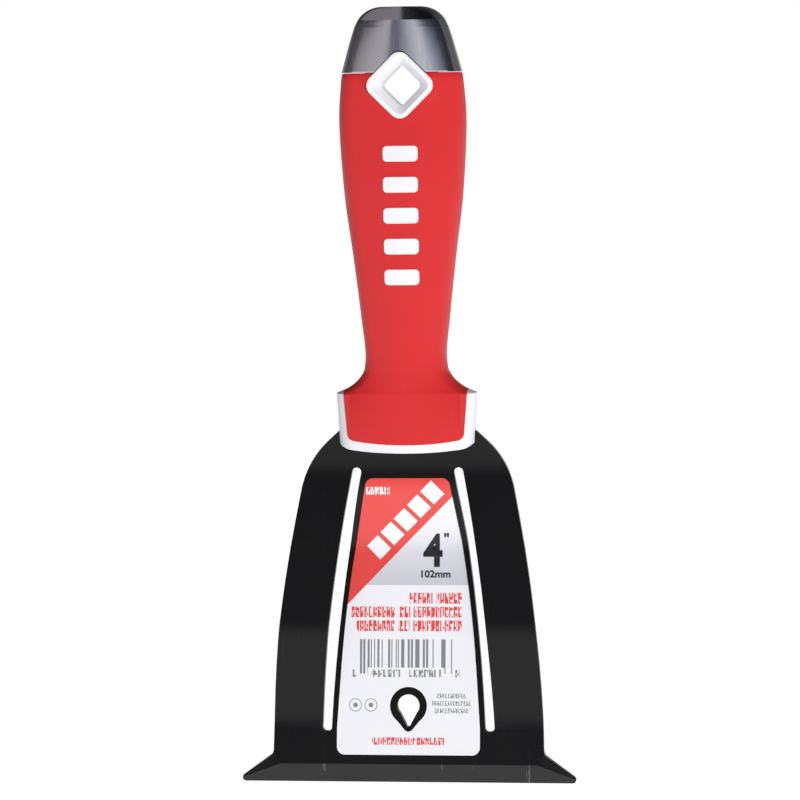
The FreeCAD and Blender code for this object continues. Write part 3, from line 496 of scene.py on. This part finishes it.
def oval_form(name, rings):
    """A skin through level ovals. The first oval is drawn by four spins, and is then extruded
    and resized from ring to ring: (height, half width, half thickness)."""
    height, half_width, half_thickness = rings[0]
    side = SIDE_ROUNDNESS * half_thickness
    reach = half_width - side
    crown = (reach ** 2 + half_thickness ** 2 - side ** 2) / (2 * (half_thickness - side))
    drop = crown - half_thickness
    lean = math.atan2(drop, reach)
    form = single_point(name)
    bpy.ops.transform.translate(value=((reach + side * math.cos(lean)) * MM,
                                       side * math.sin(lean) * MM, height * MM))
    # spin turns clockwise for a positive angle: right side, front, left side, rear
    side_turn = 2 * lean
    crown_turn = math.pi - side_turn
    for x, y, turn, steps in ((reach, 0, side_turn, SIDE_STEPS), (0, drop, crown_turn, CROWN_STEPS),
                              (-reach, 0, side_turn, SIDE_STEPS), (0, -drop, crown_turn, CROWN_STEPS)):
        bpy.ops.mesh.spin(steps=steps, angle=turn, axis=(0, 0, 1), center=(x * MM, y * MM, height * MM))
    bpy.ops.mesh.select_all(action="SELECT")
    bpy.ops.mesh.remove_doubles(threshold=MERGE_GAP)
    for (above, old_width, old_thickness), (below, width, thickness) in zip(rings, rings[1:]):
        bpy.ops.mesh.extrude_region_move(TRANSFORM_OT_translate={"value": (0, 0, (below - above) * MM)})
        bpy.ops.transform.resize(value=(width / old_width, thickness / old_thickness, 1),
                                 center_override=(0, 0, 0))
    bpy.ops.object.mode_set(mode="OBJECT")
    return form


def close_ends(form):
    """Fills the open rim at each end of a form and turns every face outwards."""
    take(form)
    for end in (min, max):
        bpy.ops.object.mode_set(mode="EDIT")
        bpy.ops.mesh.select_all(action="DESELECT")
        mesh = bmesh.from_edit_mesh(form.data)
        level = end(vertex.co.z for vertex in mesh.verts)
        for edge in mesh.edges:
            edge.select = edge.is_boundary and all(abs(v.co.z - level) < SAME_PLACE for v in edge.verts)
        bmesh.update_edit_mesh(form.data)
        bpy.ops.mesh.edge_face_add()
        bpy.ops.object.mode_set(mode="OBJECT")
    bpy.ops.object.mode_set(mode="EDIT")
    bpy.ops.mesh.select_all(action="SELECT")
    bpy.ops.mesh.normals_make_consistent(inside=False)
    bpy.ops.object.mode_set(mode="OBJECT")


def drawn_prism(name, corners, front, rear):
    """A slab between two depths, its outline drawn corner by corner in the front view. Each
    corner is x, z and how far its rounding reaches along the two edges beside it."""
    slab = single_point(name)
    bpy.ops.transform.translate(value=(corners[0][0] * MM, front * MM, corners[0][1] * MM))
    for (old_x, old_z, _), (new_x, new_z, _) in zip(corners, corners[1:]):
        bpy.ops.mesh.extrude_region_move(
            TRANSFORM_OT_translate={"value": ((new_x - old_x) * MM, 0, (new_z - old_z) * MM)})
    bpy.ops.mesh.select_all(action="SELECT")
    bpy.ops.mesh.edge_face_add()
    for x, z, reach in corners:
        if not reach:
            continue
        bpy.ops.mesh.select_all(action="DESELECT")
        mesh = bmesh.from_edit_mesh(slab.data)
        corner = min(mesh.verts, key=lambda v: (v.co - Vector((x * MM, front * MM, z * MM))).length)
        corner.select = True
        bmesh.update_edit_mesh(slab.data)
        bpy.ops.mesh.bevel(offset=reach * MM, affect="VERTICES", segments=CORNER_STEPS)
    bpy.ops.mesh.select_all(action="SELECT")
    bpy.ops.mesh.extrude_region_move(TRANSFORM_OT_translate={"value": (0, (rear - front) * MM, 0)})
    bpy.ops.mesh.select_all(action="SELECT")
    bpy.ops.mesh.normals_make_consistent(inside=False)
    bpy.ops.object.mode_set(mode="OBJECT")
    return slab


def combine(piece, kind, other):
    """Joins, cuts or keeps what two closed forms share, and drops the second form."""
    finish_with(piece, "BOOLEAN", operation=kind, object=other, solver="EXACT")
    bpy.data.objects.remove(other)


def handle_rings(skin, foot=False):
    """Ring by ring, the handle's skin moved out by so much, down to the collar or the foot.
    The rings lie closer at the flare, and closest at the shoulder."""
    levels = [3.8 - 2.1 * step for step in range(40)]
    levels += [-79.4 - 0.6 * step for step in range(1, 16)]
    levels += [-88.7 - 0.3 * step for step in range(12)] + [-92.3]
    rings = [(level, *section_at(GRIP_SECTIONS, level)) for level in levels]
    if foot:
        rings += [BOLSTER_FOOT]
    return [(level, width + skin, thickness + skin) for level, width, thickness in rings]


def both_sides(right_side):
    """An outline given by its right-hand corners, from the middle at its foot to the top."""
    left_side = [(-x, z, reach) for x, z, reach in reversed(right_side) if x]
    return left_side + right_side


# how far the trimming slabs reach from the hang hole: to each side, to front and rear, and up
WIDE, DEEP, HIGH = 30, 14, 20
sole_outline = both_sides([(0, -110.9, 15), (20.8, -108.6, 4.0), (WIDE, -88, 0), (WIDE, HIGH, 0)])
panel_outline = both_sides([(0, -108.9, 15), (17.5, -106, 1.6), (18.8, BOLSTER_TOP, 0),
                            (WIDE, BOLSTER_TOP, 0), (WIDE, HIGH, 0)])

bolster = oval_form("bolster_collar", handle_rings(0, foot=True))
close_ends(bolster)
combine(bolster, "INTERSECT", drawn_prism("sole", sole_outline, -DEEP, DEEP))
combine(bolster, "DIFFERENCE", drawn_prism("panel", panel_outline, -DEEP, DEEP))


def plastic_material(name, color, cloud_color, roughness, grain_scale, depth, gloss):
    """Moulded plastic: a faint cloudiness in the colour and a fine spark-eroded grain."""
    material, shader = new_material(name, roughness, Specular_IOR_Level=gloss)
    grain = place_group(material, GRAIN, Grain_Scale=grain_scale, Cloud_Scale=70)
    material.node_tree.links.new(blend_colors(material, grain["Cloud"], color, cloud_color),
                                 shader.inputs["Base Color"])
    cloudy = range_node(material.node_tree, grain["Cloud"], NOISE_LOW, NOISE_HIGH,
                        roughness - 0.05, roughness + 0.05)
    material.node_tree.links.new(cloudy, shader.inputs["Roughness"])
    bump(material, shader, grain["Height"], depth * MM)
    return material


white_nylon = plastic_material("white_nylon", (0.89, 0.89, 0.92), (0.86, 0.86, 0.89),
                               roughness=0.42, grain_scale=1400, depth=0.01, gloss=0.5)
bolster.data.materials.append(white_nylon)
smooth(bolster)
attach(bolster, "root")
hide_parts("core_front", "core_rear")


# ---- raised bars ---------------------------------------------------------------------------
# Five plain bars, moulded in one with the white nylon core. They stand through the front of
# the soft grip, a little proud of it.

BAR_COUNT = 5
BAR_TOP = -17.9
BAR_PITCH = 9.18
BAR_HEIGHT = 4.6
BAR_HALF_WIDTH = 5.2
BAR_ROUNDING = 1.2
BAR_ROOT = -6
BAR_RELIEF = 0.25


def raised_bar(index):
    """A rounded block from the core's front outwards, before it is trimmed."""
    top = BAR_TOP - index * BAR_PITCH
    foot = top - BAR_HEIGHT
    outline = [(x, z, BAR_ROUNDING) for x, z in ((-BAR_HALF_WIDTH, top), (BAR_HALF_WIDTH, top),
                                                 (BAR_HALF_WIDTH, foot), (-BAR_HALF_WIDTH, foot))]
    return drawn_prism("bar", outline, -DEEP, BAR_ROOT)


bars = raised_bar(0)
for index in range(1, BAR_COUNT):
    combine(bars, "UNION", raised_bar(index))
proud = oval_form("proud", handle_rings(BAR_RELIEF))
close_ends(proud)
combine(bars, "INTERSECT", proud)
bars.name = "inlay_bars"
bars.data.materials.append(white_nylon)
smooth(bars)
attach(bars, "root")


# ---- soft grip -----------------------------------------------------------------------------
# Red soft rubber moulded round the core from the strike cap down to the collar, with one
# tongue that fills the panel on each face of the bolster.

# the grip's top edge rolls in against the seam with the strike cap
seam_roll = [(3.2, 15.9, 6.0), (3.7, 17.5, 7.6), (3.65, 17.9, 8.0), (3.4, 18.1, 8.2)]
grip = oval_form("soft_grip", seam_roll + handle_rings(0, foot=True)[1:])
close_ends(grip)
combine(grip, "INTERSECT", drawn_prism("tongue", panel_outline, -DEEP, DEEP))
# the bush's rim: from the centre to the unrounded corner, and the reach of its rounding
RIM_CORNER = 11.25
RIM_REACH = 3.3


def rim_outline(corner):
    """The rotated square of the bush, to so far from the centre."""
    return [(0, corner, RIM_REACH), (corner, 0, RIM_REACH), (0, -corner, RIM_REACH), (-corner, 0, RIM_REACH)]


combine(grip, "DIFFERENCE", drawn_prism("rim_hole", rim_outline(RIM_CORNER), -DEEP, DEEP))
red_rubber = plastic_material("red_rubber", (0.63, 0.022, 0.025), (0.68, 0.029, 0.031),
                              roughness=0.5, grain_scale=1800, depth=0.012, gloss=0.35)
grip.data.materials.append(red_rubber)
smooth(grip)
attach(grip, "root")
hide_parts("grip")


# ---- hang bush -----------------------------------------------------------------------------
# A white nylon spool through the handle, a rotated square with a flat rim and a dished funnel
# on each face, which meet at the throat in the middle.

HALF_SPOOL = 8.9
RIM_WIDTH = 1.0
RIM_STEPS = 14


def draw_out(steps):
    """Extrudes the selected face along Y and resizes it, once for each travel and scale."""
    for travel, scale in steps:
        bpy.ops.mesh.extrude_region_move(TRANSFORM_OT_translate={"value": (0, travel * MM, 0)})
        bpy.ops.transform.resize(value=(scale, 1, scale), center_override=(0, 0, 0))


bpy.ops.object.select_all(action="DESELECT")
bpy.ops.mesh.primitive_circle_add(vertices=4, radius=RIM_CORNER * MM, fill_type="NGON",
                                  rotation=(math.pi / 2, 0, 0))
bush = bpy.context.object
bush.name = "hang_bush_spool"
bpy.ops.object.transform_apply(location=True, rotation=True, scale=True)
bpy.ops.object.mode_set(mode="EDIT")
bpy.ops.mesh.select_all(action="SELECT")
bpy.ops.mesh.bevel(offset=RIM_REACH * MM, affect="VERTICES", segments=RIM_STEPS)
bpy.ops.mesh.select_all(action="SELECT")
# out to the rounded edge of the rim, then from the rim down the dish to the throat
draw_out([(0.35 - HALF_SPOOL, 1), (-0.25, 0.99), (-0.1, 0.975)])
bpy.ops.mesh.inset(thickness=RIM_WIDTH * MM)
draw_out([(0.25, 0.965), (3.4, 0.74), (0.7, 0.95), (4.55, 0.98)])
bpy.ops.mesh.delete(type="FACE")
mesh = bmesh.from_edit_mesh(bush.data)
for face in mesh.faces:
    face.select = all(abs(vertex.co.y) < SAME_PLACE for vertex in face.verts)
bmesh.update_edit_mesh(bush.data)
bpy.ops.mesh.delete(type="FACE")
bpy.ops.object.mode_set(mode="OBJECT")
finish_with(bush, "MIRROR", use_axis=(False, True, False), use_clip=True, merge_threshold=MERGE_GAP)
take(bush)
bpy.ops.object.mode_set(mode="EDIT")
bpy.ops.mesh.select_all(action="SELECT")
bpy.ops.mesh.normals_make_consistent(inside=False)
bpy.ops.object.mode_set(mode="OBJECT")
bush.data.materials.append(white_nylon)
smooth(bush, degrees=40)
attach(bush, "root")
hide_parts("hang_bush")


# ---- strike cap ----------------------------------------------------------------------------
# A steel cap drawn over the end of the core, polished, with a thick crown to be struck with a
# hammer and a scallop that clears the hang bush.

# sections of the cap, in mm: height, half width and half thickness
CAP_SECTIONS = [(3.8, 18.2, 8.3), (14.0, 15.3, 7.9), (24.5, 11.6, 7.5)]
# the shoulders are arcs round points at this height, this far from the middle
SHOULDER_HEIGHT = 15.0
SHOULDER_OFFSET = 6.1
SHOULDER_RADIUS = 8.3
SHOULDER_START = 17.45
# the faces lean in above the crease, by so much for each mm of height
CREASE = 19.3
CHAMFER = 0.75


def cap_ring(height):
    """The cap's half width and half thickness, with its rounded shoulders and front chamfer."""
    width, thickness = section_at(CAP_SECTIONS, height)
    if height > SHOULDER_START:
        rise = height - SHOULDER_HEIGHT
        width = SHOULDER_OFFSET + math.sqrt(SHOULDER_RADIUS ** 2 - rise ** 2)
    if height > CREASE:
        thickness = section_at(CAP_SECTIONS, CREASE)[1] - CHAMFER * (height - CREASE)
    return height, width, thickness


# ring heights: up the skirt, round the shoulders to the crease, and over the crown's edge
cap_levels = [3.93, 4.2] + [5.1 + 0.95 * step for step in range(13)] + [17.0, SHOULDER_START]
cap_levels += [SHOULDER_START + 0.37 * step for step in range(1, 5)] + [CREASE - 0.02, CREASE]
cap_levels += [CREASE + 0.42 * step for step in range(1, 8)] + [22.55, 22.8, 23.0, 23.15, 23.25, 23.29]
# the cap's lower edge is rolled in
lip = [(4.6, 16.3, 6.4), (3.9, 16.8, 6.9), (3.83, 18.05, 8.18), (3.86, 18.13, 8.26)]
cap = oval_form("strike_cap_shell", lip + [cap_ring(level) for level in cap_levels])
close_ends(cap)
SCALLOP_CLEARANCE = 0.35
scallop_outline = rim_outline(RIM_CORNER + SCALLOP_CLEARANCE)
combine(cap, "DIFFERENCE", drawn_prism("scallop", scallop_outline, -DEEP, DEEP))

polished, polished_shader = new_material("polished_steel", 0.14, Metallic=1.0)
polished_grain = place_group(polished, GRAIN, Grain_Scale=700, Cloud_Scale=90)
polished_marks = place_group(polished, MARKS, Line_Scale=2600, Threshold=0.7)
polished.node_tree.links.new(
    blend_colors(polished, polished_grain["Cloud"], (0.56, 0.56, 0.58), (0.62, 0.61, 0.63)),
    polished_shader.inputs["Base Color"])
polished.node_tree.links.new(
    range_node(polished.node_tree, polished_marks["Lines"], NOISE_LOW, NOISE_HIGH, 0.1, 0.19),
    polished_shader.inputs["Roughness"])
POLISH_RELIEF = 0.0012 * MM
bump(polished, polished_shader, polished_marks["Lines"], POLISH_RELIEF)
cap.data.materials.append(polished)
smooth(cap, degrees=30)
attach(cap, "root")
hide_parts("strike_cap")


# ---- label ---------------------------------------------------------------------------------
# A printed paper label under a clear film, stuck between the slots, with a window cut round
# the nail slot. Its print is a plain stand-in: fields, blocks, bars and unreadable strokes.

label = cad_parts["label"]
label.data.materials.clear()

# a printed rectangle, as a mask
BLOCK, block_in, block_out = new_group("printed_block", {"Left": 0, "Right": 0, "Foot": 0, "Top": 0},
                                       ("Mask",))
block_split = BLOCK.nodes.new("ShaderNodeSeparateXYZ")
BLOCK.links.new(BLOCK.nodes.new("ShaderNodeTexCoord").outputs["Object"], block_split.inputs[0])


def both(tree, *masks):
    """Where all the masks are on."""
    result = masks[0]
    for mask in masks[1:]:
        result = math_node(tree, "MULTIPLY", result, mask)
    return result


BLOCK.links.new(
    both(BLOCK,
         math_node(BLOCK, "GREATER_THAN", block_split.outputs["X"], block_in.outputs["Left"]),
         math_node(BLOCK, "LESS_THAN", block_split.outputs["X"], block_in.outputs["Right"]),
         math_node(BLOCK, "GREATER_THAN", block_split.outputs["Z"], block_in.outputs["Foot"]),
         math_node(BLOCK, "LESS_THAN", block_split.outputs["Z"], block_in.outputs["Top"])),
    block_out.inputs["Mask"])

paper, paper_shader = new_material("printed_paper", 0.38, Specular_IOR_Level=0.5, Coat_Weight=0.25,
                                   Coat_Roughness=0.2)
print_tree = paper.node_tree
paper_place = print_tree.nodes.new("ShaderNodeTexCoord").outputs["Object"]
paper_split = print_tree.nodes.new("ShaderNodeSeparateXYZ")
print_tree.links.new(paper_place, paper_split.inputs[0])
across = paper_split.outputs["X"]
along = paper_split.outputs["Z"]


def block(left, right, foot, top):
    """The mask of a printed rectangle, in mm."""
    return place_group(paper, BLOCK, Left=left * MM, Right=right * MM, Foot=foot * MM, Top=top * MM)["Mask"]


def cells(width, height, share, seed):
    """Small cells, of which so large a share is inked at random."""
    snapped = print_tree.nodes.new("ShaderNodeVectorMath")
    snapped.operation = "SNAP"
    print_tree.links.new(paper_place, snapped.inputs[0])
    snapped.inputs[1].default_value = (width * MM, 1, height * MM)
    dice = print_tree.nodes.new("ShaderNodeTexWhiteNoise")
    dice.noise_dimensions = "4D"
    print_tree.links.new(snapped.outputs[0], dice.inputs["Vector"])
    dice.inputs["W"].default_value = seed
    return math_node(print_tree, "LESS_THAN", dice.outputs["Value"], share)


def lettering(pitch, row_height, share, seed):
    """Unreadable words: an upright stem and some random strokes after it for each letter."""
    stem_share, stroke_share, letter_share = 0.3, 0.28, 0.84
    place = math_node(print_tree, "FRACT", math_node(print_tree, "DIVIDE", across, pitch * MM))
    stem = math_node(print_tree, "LESS_THAN", place, stem_share)
    strokes = math_node(print_tree, "MAXIMUM", stem, cells(pitch * stroke_share, row_height, share, seed))
    return both(print_tree, math_node(print_tree, "LESS_THAN", place, letter_share), strokes)


def print_over(color, ink, *masks):
    """Prints an ink over the colour so far, where all the masks are on."""
    return blend_colors(paper, both(print_tree, *masks), color, ink)


RED = (0.80, 0.07, 0.06)
GREY = (0.24, 0.24, 0.27)
WHITE = (0.90, 0.90, 0.94)
SHADE = (0.60, 0.60, 0.67)

# the red field lies above a diagonal, and a grey field fades down to a level line
DIAGONAL_SLOPE = 1.0196
DIAGONAL_HEIGHT = -137.579
FADE_TOP = -128
FADE_FOOT = -150.9
diagonal_line = math_node(print_tree, "ADD", math_node(print_tree, "MULTIPLY", across, DIAGONAL_SLOPE),
                          DIAGONAL_HEIGHT * MM)
diagonal = math_node(print_tree, "SUBTRACT", along, diagonal_line)
above_line = math_node(print_tree, "GREATER_THAN", along, FADE_FOOT * MM)
fade = range_node(print_tree, along, FADE_TOP * MM, FADE_FOOT * MM, 0.0, 1.0)
color = print_over(WHITE, SHADE, above_line, fade)
color = print_over(color, RED, math_node(print_tree, "GREATER_THAN", diagonal, 0.0))

# five plain blocks in a band above the diagonal, each on the first part of its step
BLOCKS_NEAR, BLOCKS_FAR = 3.2, 11.4
BLOCKS_START, BLOCKS_END = -108.0, -78.0
BLOCK_STEP = 6.0
BLOCK_SHARE = 0.78
SOFT_EDGE = 0.1
SLANT = 0.71
past_near = range_node(print_tree, diagonal, BLOCKS_NEAR * MM, (BLOCKS_NEAR + SOFT_EDGE) * MM, 0.0, 1.0)
before_far = range_node(print_tree, diagonal, BLOCKS_FAR * MM, (BLOCKS_FAR + SOFT_EDGE) * MM, 1.0, 0.0)
run = math_node(print_tree, "ADD", math_node(print_tree, "MULTIPLY", across, SLANT),
                math_node(print_tree, "MULTIPLY", along, SLANT))
step_place = math_node(print_tree, "FRACT", math_node(print_tree, "DIVIDE", run, BLOCK_STEP * MM))
color = print_over(color, WHITE, past_near, before_far,
                   math_node(print_tree, "LESS_THAN", step_place, BLOCK_SHARE),
                   math_node(print_tree, "GREATER_THAN", run, BLOCKS_START * MM),
                   math_node(print_tree, "LESS_THAN", run, BLOCKS_END * MM))

# a white reference line at the top and three red lines of unreadable words
color = print_over(color, WHITE, block(left=-12.6, right=-5.4, foot=-123.2, top=-120.8),
                   lettering(pitch=1.4, row_height=0.6, share=0.5, seed=3))
WORD_HEIGHT = 3.2
for seed, row_foot, words in ((11, -156.4, ((0.2, 7.2), (8.4, 16.2))),
                              (12, -160.5, ((-17.5, -4.2), (-3.0, 0.4), (1.4, 16.3))),
                              (13, -164.6, ((-15.9, -4.4), (-3.2, 0.2), (1.2, 16.3)))):
    for left, right in words:
        color = print_over(color, RED, block(left, right, row_foot, row_foot + WORD_HEIGHT),
                           lettering(pitch=1.36, row_height=0.8, share=0.55, seed=seed))

# a barcode of random bars with its guard bars and a row of small figures
BARCODE_TOP, BARCODE_FOOT, GUARD_FOOT = -167.0, -175.4, -177.2
FIGURES_TOP, FIGURES_FOOT = -176.0, -178.2
ENDLESS = 1000
bars_mask = cells(width=0.33, height=ENDLESS, share=0.52, seed=21)
for left, right, foot, top in ((-15.2, 13.3, BARCODE_FOOT, BARCODE_TOP),
                               (-15.2, -12.4, GUARD_FOOT, BARCODE_FOOT),
                               (10.9, 13.3, GUARD_FOOT, BARCODE_FOOT)):
    color = print_over(color, GREY, block(left, right, foot, top), bars_mask)
for left, right in ((-17.4, -16.0), (-11.7, -2.2), (0.2, 9.8), (14.2, 15.6)):
    color = print_over(color, GREY, block(left, right, FIGURES_FOOT, FIGURES_TOP),
                       lettering(pitch=1.55, row_height=0.6, share=0.4, seed=22))

# two plain rings, each with a dot, then small grey lines and one red line at the foot
RING_HEIGHT = -186.5
RING_OUTSIDE, RING_INSIDE, DOT_RADIUS = 1.95, 1.72, 0.7
for centre_x in (-16.1, -11.4):
    offset = print_tree.nodes.new("ShaderNodeVectorMath")
    offset.operation = "DISTANCE"
    flat = print_tree.nodes.new("ShaderNodeCombineXYZ")
    print_tree.links.new(across, flat.inputs["X"])
    print_tree.links.new(along, flat.inputs["Z"])
    print_tree.links.new(flat.outputs[0], offset.inputs[0])
    offset.inputs[1].default_value = (centre_x * MM, 0, RING_HEIGHT * MM)
    radius = offset.outputs["Value"]
    color = print_over(color, GREY, math_node(print_tree, "LESS_THAN", radius, RING_OUTSIDE * MM),
                       math_node(print_tree, "GREATER_THAN", radius, RING_INSIDE * MM))
    color = print_over(color, GREY, math_node(print_tree, "LESS_THAN", radius, DOT_RADIUS * MM))
SMALL_HEIGHT = 1.4
for seed, row_top, left, right in ((31, -183.0, 8.4, 17.6), (32, -185.2, 7.2, 19.0), (33, -187.4, 8.0, 18.2)):
    color = print_over(color, GREY, block(left, right, row_top - SMALL_HEIGHT, row_top),
                       lettering(pitch=0.8, row_height=0.45, share=0.3, seed=seed))
color = print_over(color, RED, block(left=-11.0, right=10.9, foot=-198.2, top=-196.0),
                   lettering(pitch=1.3, row_height=0.55, share=0.5, seed=41))
print_tree.links.new(color, paper_shader.inputs["Base Color"])
paper_grain = place_group(paper, GRAIN, Grain_Scale=1200, Cloud_Scale=120)
print_tree.links.new(range_node(print_tree, paper_grain["Cloud"], NOISE_LOW, NOISE_HIGH, 0.34, 0.44),
                     paper_shader.inputs["Roughness"])
PAPER_RELIEF = 0.02 * MM
bump(paper, paper_shader, paper_grain["Cloud"], PAPER_RELIEF, strength=0.5)
label.data.materials.append(paper)


# ---- printed size --------------------------------------------------------------------------
# The size figures on the label: a 4 with its inch mark, and the same size in millimetres. They
# are printed in thick black ink, which follows the paper round its bend.

CRANK = math.radians(11.25)
# a slanting plane near the paper, on which the figures are laid out before they are pressed on
INK_PLANE = Vector((0, 4.0 * MM, -116.35 * MM))
INK_STEP = 0.5
INK_LIFT = 0.05
INK_THICKNESS = 0.03
STROKE_SWELL = 0.03


def printed_figures(name, text, left, foot, height, width):
    """Figures laid on the paper from their lower left corner, as wide and as high as asked."""
    bpy.ops.object.select_all(action="DESELECT")
    bpy.ops.object.text_add()
    figures = bpy.context.object
    figures.name = name
    figures.data.body = text
    figures.data.offset = STROKE_SWELL
    figures.data.resolution_u = 4
    bpy.ops.object.convert(target="MESH")
    figures = bpy.context.object
    low = Vector([min(v.co[axis] for v in figures.data.vertices) for axis in range(3)])
    high = Vector([max(v.co[axis] for v in figures.data.vertices) for axis in range(3)])
    bpy.ops.object.mode_set(mode="EDIT")
    bpy.ops.mesh.select_all(action="SELECT")
    bpy.ops.transform.translate(value=(-low.x, -low.y, 0))
    bpy.ops.transform.resize(value=(width * MM / (high.x - low.x), height * MM / (high.y - low.y), MM),
                             center_override=(0, 0, 0))
    # cut across in fine steps, so that the ink can follow the bend of the paper
    for step in range(1, math.ceil(height / INK_STEP)):
        bpy.ops.mesh.select_all(action="SELECT")
        bpy.ops.mesh.bisect(plane_co=(0, INK_STEP * MM * step, 0), plane_no=(0, 1, 0))
    bpy.ops.object.mode_set(mode="OBJECT")
    place = (foot * MM - INK_PLANE.z) / math.cos(CRANK)
    origin = INK_PLANE + Vector((left * MM, math.sin(CRANK) * place, math.cos(CRANK) * place))
    figures.matrix_world = Matrix.Translation(origin) @ Matrix.Rotation(math.pi / 2 - CRANK, 4, "X")
    bpy.ops.object.transform_apply(location=True, rotation=True, scale=True)
    finish_with(figures, "SHRINKWRAP", target=label, wrap_method="PROJECT", use_project_y=True,
                use_positive_direction=True, use_negative_direction=True)
    take(figures)
    bpy.ops.object.mode_set(mode="EDIT")
    bpy.ops.mesh.select_all(action="SELECT")
    bpy.ops.mesh.remove_doubles(threshold=SAME_PLACE)
    bpy.ops.transform.translate(value=(0, -INK_LIFT * MM, 0))
    bpy.ops.object.mode_set(mode="OBJECT")
    finish_with(figures, "SOLIDIFY", thickness=INK_THICKNESS * MM, offset=-1)
    return figures


ink, ink_shader = new_material("black_ink", 0.4)
ink_grain = place_group(ink, GRAIN, Grain_Scale=1500, Cloud_Scale=500)
ink.node_tree.links.new(blend_colors(ink, ink_grain["Cloud"], (0.012, 0.011, 0.014), (0.022, 0.02, 0.024)),
                        ink_shader.inputs["Base Color"])
for name, text, left, foot, height, width in (("size_figure", "4", 4.3, -145.5, 10.3, 5.9),
                                              ("size_inches", "''", 10.7, -136.6, 1.4, 1.5),
                                              ("size_millimetres", "102mm", 3.7, -148.7, 2.3, 8.9)):
    figures = printed_figures(name, text, left, foot, height, width)
    figures.data.materials.append(ink)
    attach(figures, "root")
